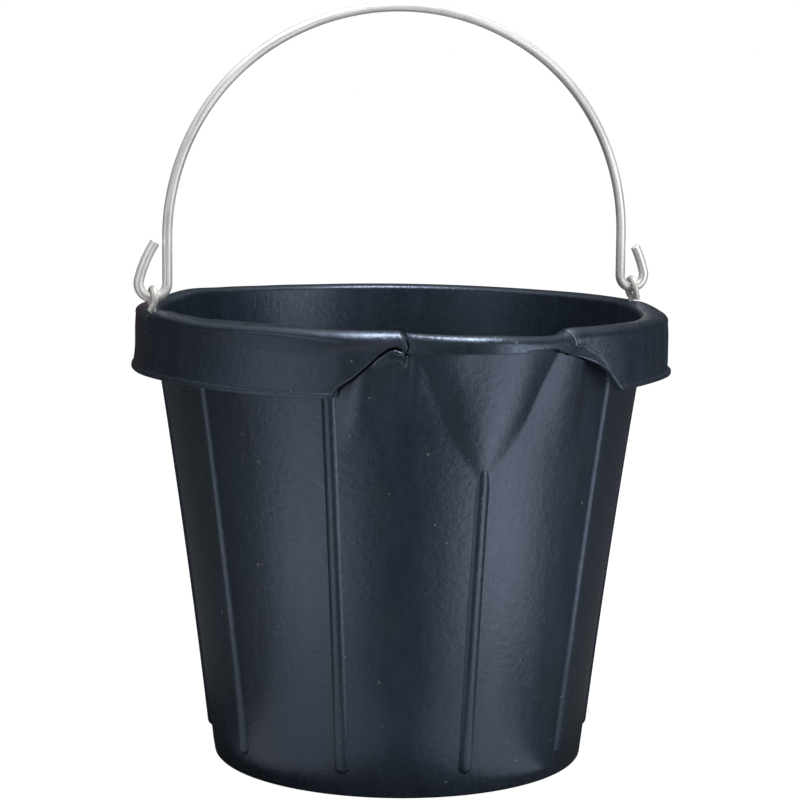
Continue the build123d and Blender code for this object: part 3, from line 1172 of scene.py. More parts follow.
    def bare_wall(self, azimuth: float, height: float, inset: float = 0.0) -> float:
        """Outside of the wall with the spout alone, or its inside by an inset."""
        plain = self.wall_radius(height, inset) + waves(self.wall_waves, radians(azimuth), height)
        return plain + self.spout_swell(azimuth, height)

    def swelling(self, cut: RimCut, height: float) -> float:
        """How far the wall swells to the ledge under the skirt's cut and the ends of the lip.

        Args:
            cut: Rim of the section.
            height: Height on the wall.

        Returns:
            The distance, rounded off at the ledge.
        """
        below = cut.ledge - height
        if cut.swell <= 0.0 or below < -self.ledge_over:
            return 0.0
        over = min(cut.curve, max(0.0, cut.curve - below))
        above_foot = self.height - cut.swell_depth - height
        swell = cut.swell * eased(self.ledge_drop[cut.side], 0.0, above_foot)
        swell += cut.roll * eased(self.roll_drop, 0.0, below)
        return max(0.0, swell - cut.curve + sqrt(cut.curve**2 - over**2))

    def cut_depth(self, azimuth: float) -> float:
        """How far the skirt's edge hangs below the rim at an azimuth."""
        return float(np.interp(abs(azimuth), *zip(*self.cuts[int(azimuth > 0)])))

    def skirt_run(self, cut: RimCut) -> float:
        """Height of the skirt's outside, from its edge to the rolled rim."""
        return max(cut.top - cut.round_off - cut.foot, self.skirt_least)

    def place_rim(self, cut: RimCut) -> None:
        """Work out where the rim and the pouring lip stand, and how high.

        Args:
            cut: Rim to fill in.
        """
        azimuth, turn, side = cut.azimuth, cut.turn, cut.side
        into = min(azimuth - self.left_crease, self.right_crease - azimuth)
        width, pinch = self.crease_widths[side], self.crease_shares[side]
        pour = cut.pour = eased(-width, width, into)
        crease = bell(into, width)
        near = 1.0 - eased(0.0, self.bead_end, abs(into))
        cut.plain = eased(*self.plain_spans[side], cut.away)

        reach = self.pour_circle**2 - (self.pour_centre * sin(turn)) ** 2
        lip_front = self.pour_centre * cos(turn) + sqrt(max(0.0, reach))
        lip_end = (self.left_crease, self.right_crease)[side]
        lip_front -= self.lip_tuck_in[side] * eased(0.0, lip_end, azimuth)
        skirt = self.skirt_radius + humps(self.skirt_bells, azimuth)
        skirt -= self.tuck_in[side] * eased(*self.tuck_spans[side], cut.away)
        joint = eased(-self.joint_width, self.joint_width, into)
        cut.flush = between(skirt, lip_front, joint)
        tuck = between(self.bead_tuck, self.lip_end_tuck, pour)
        cut.outer = between(skirt, lip_front, pour)
        cut.outer -= pinch * (self.crease_depth * crease + tuck * near)

        bow = max(0.0, cos(turn * 90.0 / abs(self.left_crease))) if pour > 0 else 0.0
        dip = between(self.pour_side_dip, self.pour_dip, bow)
        drop = between(self.bead_drop, self.lip_end_drop, pour)
        cut.top = self.height - self.rim_drop + waves(self.rim_waves, turn) - pour * dip
        cut.top -= pinch * (self.crease_drop * crease + drop * near)
        cut.top -= self.eye_dent * bell(cut.near_eye, self.eye_dent_width)
        cut.top -= level(self.rim_sag, azimuth)
        tight, slack = self.side_spans
        flank = eased(*tight, cut.away) * eased(*slack, cut.away)
        round_off = between(self.rim_round, self.side_rim_round, flank)
        cut.round_off = between(round_off, self.pour_round, pour)

    def hang_skirt(self, cut: RimCut) -> None:
        """Work out the skirt below the rim: its edge, its inside and its flare.

        Args:
            cut: Rim to fill in, once it has its place.
        """
        azimuth, pour, plain, side = cut.azimuth, cut.pour, cut.plain, cut.side
        pour_foot = self.height - self.pour_drop
        pour_foot += self.pour_step * eased(*self.pour_step_span, azimuth)
        pour_foot -= self.lip_flap * eased(*self.lip_flap_span, azimuth)
        sag = self.edge_sag * (1 + self.edge_sag_lean * sin(cut.turn))
        sag += humps(self.edge_bells, azimuth)
        skirt_foot = self.height - self.cut_depth(azimuth) + waves(self.edge_waves, cut.turn)
        cut.foot = between(skirt_foot - plain * sag, pour_foot, pour)
        boss = eased(*self.boss_span, cut.near_eye) * (self.boss_drop - self.roof_depth)
        roof = self.height - self.roof_depth - boss + humps(self.roof_bells, azimuth)
        roof = between(roof, pour_foot + self.pour_roof, pour)
        cut.roof = max(roof, cut.foot + self.roof_gap)

        thick = self.skirt_wall + self.thickening[side] * eased(*self.thick_spans[side], cut.away)
        cut.inside = cut.outer - between(thick, self.pour_wall, pour)
        across = self.eye_side * radians(cut.near_eye)
        if across < self.pocket_radius:
            pocket = self.eye_side + sqrt(self.pocket_radius**2 - across**2)
            cut.inside = max(cut.inside, pocket)

        run = self.skirt_run(cut)
        cut.lip = between(self.cut_lip, self.edge_lip, plain) * min(1.0, run / self.skirt_length)
        back = eased(*self.back_span, cut.away)
        flank = eased(*self.flare_spans[side], cut.away) * (1 - back)
        flare = flank * self.side_flare[side] + back * self.back_flare
        flare += (1.0 - flank - back) * self.front_flare
        flare = between(self.cut_flare, flare, plain) * (1 - pour)
        cut.flare = min(flare, self.flare_limit * cut.lip)
        cut.soft = (1 - side) * flank

        cut_share = (1 - plain) * (1 - pour)
        cut.bevel = side * cut_share
        step = self.cut_slope_step
        fall = self.cut_depth(azimuth + step) - self.cut_depth(azimuth - step)
        steep = hypot(1.0, fall / (self.skirt_radius * radians(2 * step)))
        edge, rise = self.edge_round, self.edge_round * min(steep, self.cut_steepest)
        if side:
            edge, rise = glide(self.right_bevel, azimuth)
        edge_limit, rise_limit = self.bevel_limits
        edge, rise = (between(self.edge_round, size, cut_share) for size in (edge, rise))
        cut.edge = min(edge, edge_limit * (cut.outer - cut.inside))
        cut.rise = min(rise, rise_limit * run)

    def swell_wall(self, cut: RimCut) -> None:
        """Work out the ledge below the skirt's edge, the wall's swell and the roll on it.

        Args:
            cut: Rim to fill in, once its skirt hangs.
        """
        azimuth = cut.azimuth
        share, inset, gap, cut.curve = glide(self.ledges, azimuth)
        cut.ledge = cut.foot - gap
        cut.swell_depth = self.swell_depth
        if azimuth < self.swell_follows_cut:
            cut.swell_depth = max(self.swell_depth, self.cut_depth(azimuth))
        wall = self.bare_wall(azimuth, self.height - cut.swell_depth)
        cut.swell = share * max(0.0, cut.flush - inset - wall)
        cut.swell += level(self.right_swell, azimuth)
        start, end = self.roll_spans
        cut.roll = eased(*start, azimuth) * eased(*end, azimuth) * (inset + self.roll_stand)

    def groove_at(self, cut: RimCut) -> float:
        """Depth of the groove below the rolled rim."""
        depth = self.rim_groove + humps(self.groove_bells, cut.azimuth)
        return depth * min(1.0, self.skirt_run(cut) / self.skirt_length)

    def underside(self) -> list[Station]:
        """Stations from the middle of the underside round the edge of the base.

        Returns:
            The stations.
        """
        edge = self.base_radius - self.base_round
        row = [Station(edge * share, 0.0) for share in (0.0, 0.2, 0.4, 0.6, 0.8, 0.93, 1.0)]
        for angle in (30.0, 60.0, 90.0):
            side = self.base_round * sin(radians(angle))
            rise = self.base_round * (1 - cos(radians(angle)))
            row.append(Station(edge + side, rise, wear=0.5))
        return row

    def outer_wall(self, cut: RimCut) -> list[Station]:
        """Stations up the outside of the wall to the roof under the rim.

        Args:
            cut: Rim of the section.

        Returns:
            The stations.
        """
        ledge, curve = cut.ledge, cut.curve
        heights = [
            *np.linspace(self.wall_start, self.spout_low, 18, endpoint=False),
            *np.linspace(self.spout_low, ledge - self.ledge_fine, 32),
            *np.linspace(ledge - self.ledge_fine, ledge - curve, 9)[1:],
            *(ledge - curve * (1 - sin(radians(lean))) for lean in (10, 22, 34, 46, 60, 75, 90)),
        ]
        row = []
        for height in heights:
            radius = self.bare_wall(cut.azimuth, height) + self.swelling(cut, height)
            polish = -min(1.0, cut.roll) * eased(2.0 * curve, curve, ledge - height)
            row.append(Station(radius, height, dull=polish))
        for height in np.linspace(ledge, cut.roof - self.roof_start, 5)[1:]:
            row.append(Station(self.bare_wall(cut.azimuth, height), height))
        return row

    def skirt_inside(self, cut: RimCut) -> list[Station]:
        """Stations along the roof and down the inside of the skirt.

        Args:
            cut: Rim of the section.

        Returns:
            The stations.
        """
        start = self.bare_wall(cut.azimuth, cut.roof)
        reach = max(cut.inside - start, self.least_reach)
        end = start + reach
        fillet = min(self.roof_fillet, 0.4 * reach)
        corner = min(self.roof_corner, 0.4 * (cut.roof - cut.foot), 0.4 * reach)
        flat = reach - fillet - corner
        row = [Station(start + 0.3 * fillet, cut.roof - 0.3 * fillet)]
        row += [Station(start + fillet + flat * share, cut.roof) for share in (0.0, 0.5, 1.0)]
        row.append(Station(end - 0.29 * corner, cut.roof - 0.29 * corner))
        top = cut.roof - corner
        drop = top - cut.foot - cut.lip - 0.3 * cut.flare
        return row + [Station(end, top - share * drop) for share in (0.0, 0.3, 0.6, 0.85, 1.0)]

    def skirt_edge(self, cut: RimCut) -> list[Station]:
        """Stations round the lower edge of the skirt.

        Args:
            cut: Rim of the section.

        Returns:
            The stations.
        """
        inner = max(cut.inside, self.bare_wall(cut.azimuth, cut.roof) + self.least_reach)
        inner += 0.5 * cut.flare
        outer = cut.outer + self.stand_out(cut, 0.0) - cut.edge
        tuck = min(self.edge_round, 0.25 * (cut.outer - inner), 0.5 * cut.lip + 0.15)
        return [
            Station(inner, cut.foot + 0.8 * cut.lip),
            Station(inner + 0.1 * tuck, cut.foot + 0.5 * tuck, self.foot_wear),
            Station(inner + tuck, cut.foot, self.foot_wear, self.foot_dull),
            Station((inner + tuck + outer) / 2, cut.foot, self.foot_wear, self.foot_dull),
            Station(outer, cut.foot, 2 * self.foot_wear, self.foot_dull),
        ]

    def stand_out(self, cut: RimCut, above: float) -> float:
        """How far the skirt flares at a distance above its edge.

        Args:
            cut: Rim of the section.
            above: Distance above the edge.

        Returns:
            How far it stands out.
        """
        start, low, end = (share * cut.lip for share in self.lip_shares)
        crisp = 1.0 - (1.0 + self.lip_undercut) * eased(start, low + SPAN_GUARD, above)
        crisp += self.lip_undercut * eased(low, end + SPAN_GUARD, above)
        soft = max(0.0, 1.0 - above / self.flare_reach) ** 2
        return cut.flare * between(crisp, between(crisp, soft, self.soft_flare), cut.soft)

    def rounded(self, cut: RimCut, above: float) -> float:
        """How far the skirt's outside is rounded back at a distance above its edge."""
        share = max(0.0, 1.0 - above / cut.rise)
        return cut.edge * between(1.0 - sqrt(1.0 - share**2), share, cut.bevel)

    def skirt_outside(self, cut: RimCut) -> list[Station]:
        """Stations up the outside of the skirt.

        Args:
            cut: Rim of the section.

        Returns:
            The stations.
        """
        length = self.skirt_run(cut)
        scale = min(1.0, length / self.skirt_length)
        steps = [step * scale for step in self.skirt_steps]
        steps += [cut.rise * share for share in self.bevel_steps]
        place, width = self.bevel_groove_at
        bevel_groove = self.bevel_groove * min(1.0, 0.2 * cut.rise) * cut.bevel
        row = []
        for above in sorted(steps):
            skew = self.roll_skew - 0.8 * (1 - above / scale / self.skirt_length) ** 2
            wear = self.edge_wear * (above < self.edge_wear_reach * scale) * (1 - cut.pour)
            groove = self.groove_at(cut) * max(0.0, 1.0 - (length - above) / self.groove_reach) ** 2
            groove += bevel_groove * bell(above / cut.rise - place, width)
            radius = cut.outer + self.stand_out(cut, above) - self.rounded(cut, above) - groove
            dull = 1.0 - self.pour_shine * cut.pour
            dull -= self.bevel_shine * (1.0 - min(1.0, above / cut.rise))
            row.append(Station(radius, cut.foot + above, wear, dull, skew))
        return row

    def rim(self, cut: RimCut) -> list[Station]:
        """Stations over the rolled rim and down to the inside of the wall.

        Args:
            cut: Rim of the section.

        Returns:
            The stations.
        """
        crest, top = cut.outer - cut.round_off, cut.top
        shine = self.roll_shine * (1 - humps(self.rough_bells, cut.azimuth))
        groove = self.groove_at(cut)
        lift = level(self.rim_lift, cut.azimuth)
        row = []
        for angle in np.linspace(0.0, 90.0, 13):
            lean = radians(angle)
            radius = crest + cut.round_off * cos(lean) - groove * bell(angle, self.groove_lean)
            height = top - cut.round_off * (1 - sin(lean))
            height += self.crest_lift * lift * eased(*self.crest_lift_span, angle)
            dull = 1.0 - shine * eased(*self.roll_shine_span, angle)
            wear = self.roll_wear * (angle / 90.0) ** 2
            skew = self.roll_skew - angle / self.roll_skew_lean
            row.append(Station(radius, height, wear, dull, skew))
        curve, drop = self.inner_round, self.inner_drop
        start = self.bare_wall(cut.azimuth, top - drop - curve, self.wall)
        flat = crest - start - curve
        for share in (0.35, 0.75):
            height = top - drop * share**2 + lift * min(1.0, 2.0 * share)
            radius, skew = crest - share * flat, -0.5 * (1 - share)
            row.append(Station(radius, height, self.inner_wear, -self.flat_shine, skew))
        for angle in np.linspace(0.0, 90.0, 8):
            lean = radians(angle)
            height = top + lift - drop - curve * (1 - cos(lean))
            dull = self.inner_shine * ((angle / 90.0) ** 2 - 1.0)
            row.append(Station(start + curve * (1 - sin(lean)), height, self.inner_wear, dull))
        return row

    def inner_wall(self, cut: RimCut) -> list[Station]:
        """Stations down the inside of the wall to the middle of the floor.

        Args:
            cut: Rim of the section.

        Returns:
            The stations.
        """
        azimuth, bend = cut.azimuth, self.floor + self.floor_round
        roll_foot = cut.top - self.inner_drop - self.inner_round
        heights = [
            *np.linspace(roll_foot, self.spout_low, 26)[1:],
            *np.linspace(self.spout_low, bend, 12)[1:],
        ]
        row = [Station(self.bare_wall(azimuth, height, self.wall), height) for height in heights]
        foot = self.bare_wall(azimuth, bend, self.wall) - self.floor_inset
        for angle in (20.0, 40.0, 60.0, 80.0, 90.0):
            side = self.floor_round * (1 - cos(radians(angle)))
            row.append(Station(foot - side, bend - self.floor_round * sin(radians(angle))))
        last = foot - self.floor_round
        return row + [Station(last * s, self.floor) for s in (0.9, 0.7, 0.5, 0.3, 0.12, 0.0)]

    def section(self, azimuth: float) -> list[Station]:
        """Section from the middle of the underside, over the rim, to the middle of the floor.

        Args:
            azimuth: Azimuth of the section.

        Returns:
            Its stations, as many at every azimuth.
        """
        cut = RimCut(azimuth)
        self.place_rim(cut)
        self.hang_skirt(cut)
        self.swell_wall(cut)
        row = self.underside() + self.outer_wall(cut) + self.skirt_inside(cut)
        row += self.skirt_edge(cut) + self.skirt_outside(cut)
        return row + self.rim(cut) + self.inner_wall(cut)

    def marks(
        self, azimuths: np.ndarray, radius: np.ndarray, height: np.ndarray
    ) -> list[tuple[str, np.ndarray]]:
        """Where the rubber is stained or torn, and where shade is painted on it.

        Args:
            azimuths: Azimuths of the sections.
            radius: Radius of each station.
            height: Height of each station.

        Returns:
            Names of the marks with their strength at each station.
        """

        def beside(place: Pair, power: int = 2) -> np.ndarray:
            """Bell curve about an azimuth, given with a width."""
            return bell(azimuths - place[0], place[1], power)

        drop, outside = self.height - height, radius > self.wall_top_radius
        rust = beside(self.rust_at) * (drop < self.rust_drop) * outside
        # painted shade round the left eye's pocket
        out, out_width = self.eye_shade_out
        eye = self.eye_painted_shade * beside(self.eye_shade_at)
        eye = np.minimum(1.0, eye * bell(radius - self.eye_side - out, out_width))
        eye = eye * (drop < self.eye_shade_drop)
        # painted shade in the groove under the rolled rim, on the front-left
        place, width = self.groove_shade_drop
        groove = self.groove_painted_shade * bell(drop - place, width) * outside
        painted_shade = np.maximum(eye, groove * beside(self.groove_shade_at, 4))
        low, high = self.flash_drops
        flash = beside(self.flash_at) * (radius > self.crest_radius) * (drop < low) * (drop > high)
        return [("rust", rust), ("painted_shade", painted_shade), ("flash", flash)]

    def body_mesh(self) -> Mesh:
        """Mesh of the moulding without its ribs.

        Returns:
            The mesh, with attributes for wear, dullness, rust, grime and flash.
        """
        azimuths = self.azimuths()[:, None]
        sections = np.array([self.section(float(azimuth)) for azimuth in azimuths[:, 0]])
        radius, height, wear, dull, skew = np.moveaxis(sections, -1, 0)
        turns = np.radians(azimuths + skew * humps(self.crease_skews, azimuths))
        points = np.stack([radius * np.sin(turns), -radius * np.cos(turns), height], axis=-1)
        made = grid_mesh("bucket_moulding", points, closed=False)
        layers = [("edge_wear", wear), ("dull", dull), *self.marks(azimuths, radius, height)]
        for name, values in layers:
            layer = made.attributes.new(name, "FLOAT", "POINT")
            layer.data.foreach_set("value", np.append(values[:, 1:-1].ravel(), [0.0, 0.0]))
        return made

    def rib_mesh(self, material: Material) -> Mesh:
        """Mesh of all the ribs.

        Args:
            material: Material of the ribs.

        Returns:
            The mesh.
        """
        inset = self.rib_radius - self.rib_height
        low = self.rib_foot + self.rib_radius
        leans = [radians(angle) for angle in (1, 8, 20, 35, 50, 65, 78)]
        run = [(low - self.rib_radius * cos(lean), sin(lean)) for lean in leans]
        run += [(height, 1.0) for height in np.linspace(low, self.rib_top, 40)]
        path = WirePath(upright_plane((0.0, -1.0, 0.0)))
        for height, girth in run:
            path.reach((self.wall_radius(height, inset), height, 0.0), girth)
        share = (self.front_rib_top - self.rib_foot) / (self.rib_top - self.rib_foot)
        values = {
            "Rib Count": self.rib_count,
            "Rib Radius": self.rib_radius * METRE,
            "Front Rib Share": share,
            "Front Rib Taper": self.front_rib_taper,
        }
        return rib_tree(material).mesh("bucket_ribs", path, values)

    def build(self, finish: RubberFinish) -> list[Object]:
        """Build and dress the moulding.

        Args:
            finish: Finish of the rubber.

        Returns:
            The pieces.
        """
        rubber = finish.material()
        node = "bucket_shell"
        body = put(self.body_mesh(), "bucket_moulding", rubber, Body.BUCKET, node)
        ribs = put(self.rib_mesh(rubber), "bucket_ribs", rubber, Body.BUCKET, node)
        return [body, ribs]


@dataclass
class Bail:
    """The wire handle: an arch with an open hook at each end."""

    wire: float = 6.36
    hinge_height: float = HINGE_HEIGHT
    rise: float = 182.3
    crown_turn: float = 31.6
    shoulder_inset: float = 13.1
    eye_side: float = EYE_SIDE
    left_hook: float = 9.2
    right_hook: float = 8.6
    tine_lean: float = 14.0
    tine_bend: float = 72.0
    left_tine: float = 25.7
    right_tine: float = 18.0
    end_bevel: float = 0.5
    sides: int = 40
    arch_step: float = 2.0
    hook_step: float = 5.0
    leg_pieces: int = 8
    sharp: float = 40.0

    def half_path(self, hook: float, tine: float) -> WirePath:
        """Path of one half, from the top of the arch to the end of its hook.

        Args:
            hook: Radius of the hook.
            tine: Length of the bent end after the hook.

        Returns:
            The path, to the right.
        """
        leg_side = self.eye_side - hook
        shoulder = leg_side - self.shoulder_inset
        crown = shoulder + self.shoulder_inset / sin(radians(self.crown_turn))
        path = WirePath(upright_plane((1.0, 0.0, 0.0)), step=self.arch_step)
        path.reach((0.0, self.hinge_height + self.rise, 0.0))
        path.turn(crown, -self.crown_turn)
        path.turn(shoulder, self.crown_turn - 90.0)
        path.ahead(path.points[-1][1] - self.hinge_height - hook, pieces=self.leg_pieces)
        path.step = self.hook_step
        path.turn(hook, 180.0 + self.tine_lean)
        path.turn(self.tine_bend, degrees(tine / self.tine_bend))
        return path.cut_end(self.end_bevel, self.wire / 2)

    def build(self, finish: WireFinish) -> Object:
        """Build and dress the bail.

        Args:
            finish: Finish of the wire.

        Returns:
            The piece.
        """
        steel = finish.material()
        path = self.half_path(self.right_hook, self.right_tine)
        left = self.half_path(self.left_hook, self.left_tine)
        path.points = [(-a, b, c) for a, b, c in left.points[:0:-1]] + path.points
        path.girth = left.girth[:0:-1] + path.girth
        tree = wire_tree("bail_wire", steel, threaded=False)
        values = {"Wire Radius": self.wire / 2 * METRE, "Wire Sides": self.sides}
        made = tree.mesh("bail_wire", path, values)
        made.set_sharp_from_angle(angle=radians(self.sharp))
        return put(made, "bail_wire", steel, Body.BAIL, "bail")


@dataclass
class EyeBolts:
    """The two eye bolts with their washers and nuts.

    The ends of their loops are arcs, each with a radius, an angle and a drift out of the plane.
    """

    eye_side: float = EYE_SIDE
    wire: float = 4.2
    bucket_height: float = BUCKET_HEIGHT
    hinge_height: float = HINGE_HEIGHT
    loop: float = 5.8
    loop_turn: float = 250.0
    neck: float = 3.0
    left_end: Table = ((5.8, 34.0, 0.0), (20.0, 20.0, 2.2))
    right_end: Table = ((5.8, 22.0, 0.0), (30.0, 14.5, 1.8))
    boss_drop: float = BOSS_DROP
    washer_width: float = 9.0
    washer_thickness: float = 0.8
    washer_ease: float = 0.18
    hole_clearance: float = 0.3
    nut_width: float = 7.0
    nut_height: float = 3.2
    nut_face: float = 0.96
    nut_chamfer: float = 30.0
    nut_ease: float = 0.3
    nut_clearance: float = 0.05
    standout: float = 2.0
    thread_pitch: float = 0.7
    thread_depth: float = 0.28
    thread_length: float = 12.0
    end_bevel: float = 0.4
    sides: int = 28
    loop_step: float = 6.0
    turned_sides: int = 72
    wire_sharp: float = 40.0
    turned_sharp: float = 20.0

    def __post_init__(self) -> None:
        """Work out where the washer, the nut and the shank end."""
        self.washer_foot = self.bucket_height - self.boss_drop - self.washer_thickness
        self.nut_foot = self.washer_foot - self.nut_height
        self.shank_foot = self.nut_foot - self.standout

    def path(self, side: Side) -> WirePath:
        """Path of a bolt's wire, up the shank and round the loop.

        Args:
            side: Which bolt.

        Returns:
            The path.
        """
        lead = degrees(asin(self.neck / (self.neck + self.loop)))
        neck_start = self.hinge_height - (self.neck + self.loop) * cos(radians(lead))
        foot, bevel = self.shank_foot, self.end_bevel
        core = 1.0 - self.thread_depth / (self.wire / 2)
        plane = upright_plane((0.0, 1.0, 0.0), side.value * self.eye_side)
        path = WirePath(plane, heading=90.0, step=self.loop_step)
        path.reach((0.0, foot, 0.0), core - bevel / self.wire)
        path.ahead(bevel, girth=core)
        path.ahead(self.thread_length - bevel, girth=core)
        path.ahead(bevel)
        path.ahead(neck_start - foot - self.thread_length - bevel)
        path.turn(self.neck, lead - 90.0)
        path.turn(self.loop, self.loop_turn - lead)
        for radius, angle, drift in self.left_end if side is Side.LEFT else self.right_end:
            path.turn(radius, angle, drift=side.value * drift)
        return path.cut_end(bevel, self.wire / 2)

    def bolt(self, side: Side, name: str, finish: Material) -> Mesh:
        """Mesh of one eye bolt.

        Args:
            side: Which bolt.
            name: Name of the mesh.
            finish: Material of the wire.

        Returns:
            The mesh.
        """
        turns = (self.thread_length - self.thread_pitch) / self.thread_pitch
        foot = (side.value * self.eye_side, 0.0, self.shank_foot + self.thread_pitch / 2)
        values = {
            "Wire Radius": self.wire / 2 * METRE,
            "Wire Sides": self.sides,
            "Thread Turns": turns,
            "Thread Core": (self.wire / 2 - self.thread_depth) * METRE,
            "Thread Height": turns * self.thread_pitch * METRE,
            "Thread Ridge": self.thread_depth * METRE,
            "Thread Foot": tuple(size * METRE for size in foot),
        }
        made = wire_tree(name, finish, threaded=True).mesh(name, self.path(side), values)
        made.set_sharp_from_angle(angle=radians(self.wire_sharp))
        return made

    def washer(self, side: Side, name: str) -> Mesh:
        """Mesh of one washer, with its edges eased.

        Args:
            side: Which washer.
            name: Name of the mesh.

        Returns:
            The mesh.
        """
        hole, rim = self.wire / 2 + self.hole_clearance, self.washer_width / 2
        ease = self.washer_ease
        corner = ((rim - ease, 0.0), (rim - 0.3 * ease, 0.3 * ease), (rim, ease))
        half = ((hole, ease), (hole + ease, 0.0), *corner)
        heights = (self.washer_foot, self.washer_foot + self.washer_thickness)
        return self.turned(name, side, heights, [half] * self.turned_sides)

    def nut(self, side: Side, name: str) -> Mesh:
        """Mesh of one hexagon nut, with its corners chamfered.

        Args:
            side: Which nut.
            name: Name of the mesh.

        Returns:
            The mesh.
        """
        hole, face = self.wire / 2 + self.nut_clearance, self.nut_face * self.nut_width / 2
        ease, slope = self.nut_ease, tan(radians(self.nut_chamfer))
        halves = []
        for index in range(self.turned_sides):
            angle = radians(index * 360.0 / self.turned_sides % 60.0 - 30.0)
            flat = self.nut_width / 2 / cos(angle)
            chamfer = ((face, 0.0), (flat, (flat - face) * slope))
            halves.append(((hole, ease), (hole + ease, 0.0), *chamfer))
        return self.turned(name, side, (self.nut_foot, self.washer_foot), halves)

    def turned(self, name: str, side: Side, heights: Pair, halves: Sequence[Table]) -> Mesh:
        """Mesh of a flat piece round a bolt, alike above and below.

        Args:
            name: Name of the mesh.
            side: Which bolt.
            heights: Heights of its underside and its top.
            halves: Half profiles over one turn, of radius and distance from the nearer face.

        Returns:
            The mesh.
        """
        foot, top = heights
        out, down = np.moveaxis(np.array(halves), -1, 0)
        radius = np.hstack([out, out[:, ::-1]])
        height = np.hstack([foot + down, top - down[:, ::-1]])
        turns = np.linspace(0.0, 2 * pi, len(halves), endpoint=False)[:, None]
        across = side.value * self.eye_side + radius * np.cos(turns)
        points = np.stack([across, radius * np.sin(turns), height], axis=-1)
        made = grid_mesh(name, points, closed=True)
        made.set_sharp_from_angle(angle=radians(self.turned_sharp))
        return made

    def build(self, wire: WireFinish, plate: PlateFinish) -> list[Object]:
        """Build and dress both bolts with their hardware.

        Args:
            wire: Finish of the bolts.
            plate: Finish of the washers and nuts.

        Returns:
            The pieces.
        """
        drawn, plated = wire.material(), plate.material()
        pieces = []
        for side in Side:
            hand = side.name.lower()
            bolt, washer, nut = f"{hand}_eye_wire", f"{hand}_washer_ring", f"{hand}_nut_hex"
            made = (
                (self.bolt(side, bolt, drawn), bolt, drawn, f"{hand}_eye_bolt"),
                (self.washer(side, washer), washer, plated, f"{hand}_washer"),
                (self.nut(side, nut), nut, plated, f"{hand}_nut"),
            )
            for mesh, name, material, node in made:
                pieces.append(put(mesh, name, material, Body.BUCKET, node))
        return pieces


@dataclass(frozen=True)
class Softbox:
    """Soft lamp, with its azimuth counted from the camera.

    It faces the bucket, or lies on the floor and shines up, turned to an azimuth.
    """

    name: str
    azimuth: float
    distance: float
    height: float
    size: Pair
    power: float
    lies_along: float | None = None


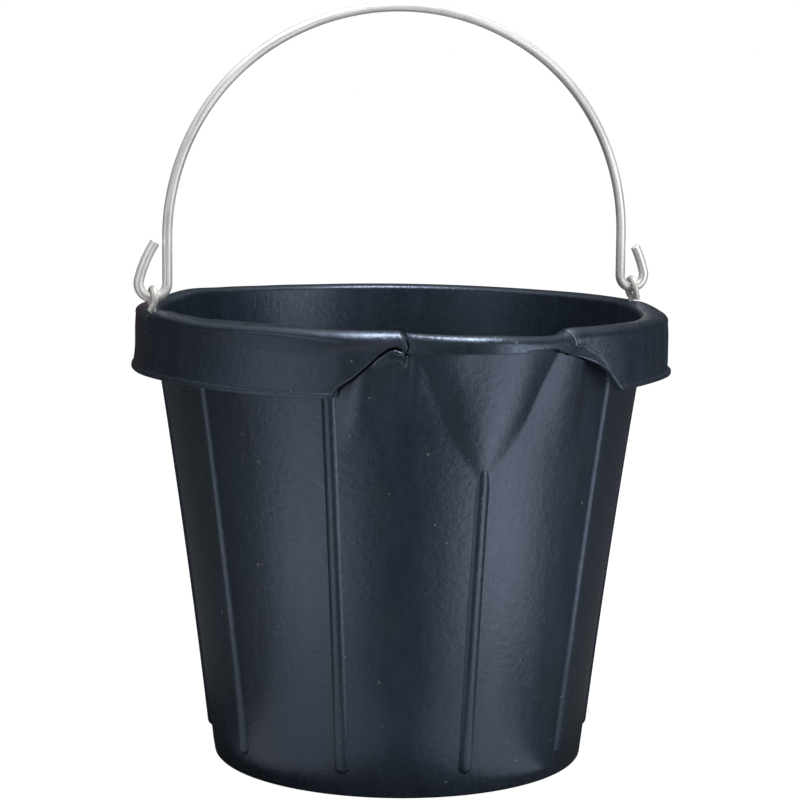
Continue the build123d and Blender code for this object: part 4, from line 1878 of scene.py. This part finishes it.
@dataclass
class Studio:
    """Floor, white surround, soft lamps and the camera of the photograph.

    The surround is white for the camera. Diffuse rays see it as soft_fill, and other rays as fill,
    apart from a bright ceiling that only shows in what shines.
    """

    camera_azimuth: float = -20.0
    camera_distance: float = 1541.0
    camera_height: float = 433.0
    camera_pitch: float = 7.47
    camera_roll: float = 0.5
    focal_pixels: float = 2391.0
    image_width: float = 800.0
    sensor: float = 36.0
    floor_half: float = 40000.0
    floor_colour: float = 0.12
    floor_glow: float = 0.98
    fill: float = 0.055
    soft_fill: float = 0.28
    ceiling: float = 0.7
    ceiling_edge: Pair = (0.45, 0.9)
    aim_height: float = 250.0
    lamps: tuple[Softbox, ...] = (
        Softbox("left_softbox", -46.0, 1200.0, 300.0, (700.0, 560.0), 2.1),
        Softbox("right_softbox", 56.0, 1300.0, 280.0, (480.0, 520.0), 6.6),
        Softbox("key_softbox", 33.0, 390.0, 2100.0, (520.0, 900.0), 43.0),
        Softbox("left_board", -40.5, 520.0, 6.0, (350.0, 360.0), 0.63, -44.0),
        Softbox("right_board", 46.5, 520.0, 6.0, (300.0, 360.0), 0.90, 52.0),
        Softbox("left_near_board", -35.0, 235.0, 6.0, (190.0, 205.0), 0.062, -44.0),
        Softbox("right_near_board", 35.0, 235.0, 6.0, (130.0, 205.0), 0.058, 50.0),
    )

    def camera(self) -> None:
        """Set the camera to the photograph's view."""
        data = bpy.data.cameras.new("photo_camera")
        data.sensor_width = self.sensor
        data.sensor_fit = "HORIZONTAL"
        data.lens = self.focal_pixels / self.image_width * self.sensor
        camera = placed("photo_camera", data)
        turn = Matrix.Rotation(radians(self.camera_azimuth), 4, "Z")
        spot = turn @ Vector((0.0, -self.camera_distance, self.camera_height)) * METRE
        tilt = Matrix.Rotation(radians(90.0 - self.camera_pitch), 4, "X")
        roll = Matrix.Rotation(radians(self.camera_roll), 4, "Z")
        camera.matrix_world = Matrix.Translation(spot) @ turn @ tilt @ roll
        bpy.context.scene.camera = camera

    def lamp(self, box: Softbox) -> None:
        """Add a soft lamp.

        Args:
            box: The lamp's place, size and power.
        """
        data = bpy.data.lights.new(box.name, "AREA")
        data.shape = "RECTANGLE"
        data.size, data.size_y = (side * METRE for side in box.size)
        data.energy = box.power
        lamp = placed(box.name, data)
        around = radians(self.camera_azimuth + box.azimuth)
        spot = Vector((box.distance * sin(around), -box.distance * cos(around), box.height))
        lamp.location = spot * METRE
        if box.lies_along is None:
            aim = Vector((0.0, 0.0, self.aim_height))
            lamp.rotation_euler = (spot - aim).to_track_quat("Z", "Y").to_euler()
        else:
            lamp.rotation_euler = (pi, 0.0, radians(self.camera_azimuth + box.lies_along))
        lamp.visible_camera = False

    def surround(self) -> None:
        """White surround for the camera, and a white ceiling for what shines."""
        net = ShaderNet(bpy.data.worlds.new("white_surround"))
        bpy.context.scene.world = net.owner
        path = net.add("ShaderNodeLightPath").outputs
        way = net.add("ShaderNodeSeparateXYZ")
        net.feed(way, Vector=net.made("ShaderNodeTexCoord", "Generated"))
        ceiling = net.span(way.outputs["Z"], self.ceiling_edge, (0.0, self.ceiling))
        shine = net.maths("MAXIMUM", path["Is Glossy Ray"], path["Is Transmission Ray"])
        seen = net.maths("MAXIMUM", path["Is Camera Ray"], net.maths("MULTIPLY", shine, ceiling))
        dim = net.span(path["Is Diffuse Ray"], (0.0, 1.0), (self.fill, self.soft_fill))
        low, high = (
            net.made("ShaderNodeBackground", "Background", Color=WHITE, Strength=strength)
            for strength in (dim, 1.0)
        )
        net.mixed(seen, low, high)

    def floor(self) -> None:
        """Pale floor that keeps the bucket's shadow."""
        net = ShaderNet(bpy.data.materials.new("pale_floor"))
        plain = net.made("ShaderNodeBsdfDiffuse", "BSDF", Color=(*[self.floor_colour] * 3, 1.0))
        glow = net.made("ShaderNodeEmission", "Emission", Strength=self.floor_glow)
        both = net.add("ShaderNodeAddShader")
        net.link(plain, both.inputs[0])
        net.link(glow, both.inputs[1])
        path = net.add("ShaderNodeLightPath").outputs
        seen = net.maths("MAXIMUM", path["Is Camera Ray"], path["Is Transmission Ray"])
        net.mixed(seen, plain, both.outputs["Shader"])
        mesh = bpy.data.meshes.new("studio_floor")
        half = self.floor_half * METRE
        spots = [(-half, -half, 0.0), (half, -half, 0.0), (half, half, 0.0), (-half, half, 0.0)]
        mesh.from_pydata(spots, [], [(0, 1, 2, 3)])
        mesh.materials.append(net.owner)
        floor = placed("studio_floor", mesh)

    def build(self) -> None:
        """Set up the whole studio."""
        bpy.context.scene.view_settings.view_transform = "Standard"
        self.camera()
        self.surround()
        self.floor()
        for box in self.lamps:
            self.lamp(box)


def main() -> None:
    """Build the studio and every piece."""
    logging.basicConfig(level=logging.INFO, format="%(name)s: %(message)s")
    Studio().build()
    Moulding().build(RubberFinish())
    Bail().build(
        WireFinish(
            "drawn_bail_wire",
            dull=(0.50, 0.49, 0.48, 1.0),
            bright=(0.92, 0.91, 0.90, 1.0),
            smudge=(0.46, 0.445, 0.43, 1.0),
        )
    )
    EyeBolts().build(
        WireFinish(
            "drawn_eye_wire",
            dull=(0.46, 0.45, 0.435, 1.0),
            bright=(0.84, 0.825, 0.80, 1.0),
            smudge=(0.36, 0.33, 0.30, 1.0),
        ),
        PlateFinish(),
    )


if __name__ == "__main__":
    main()
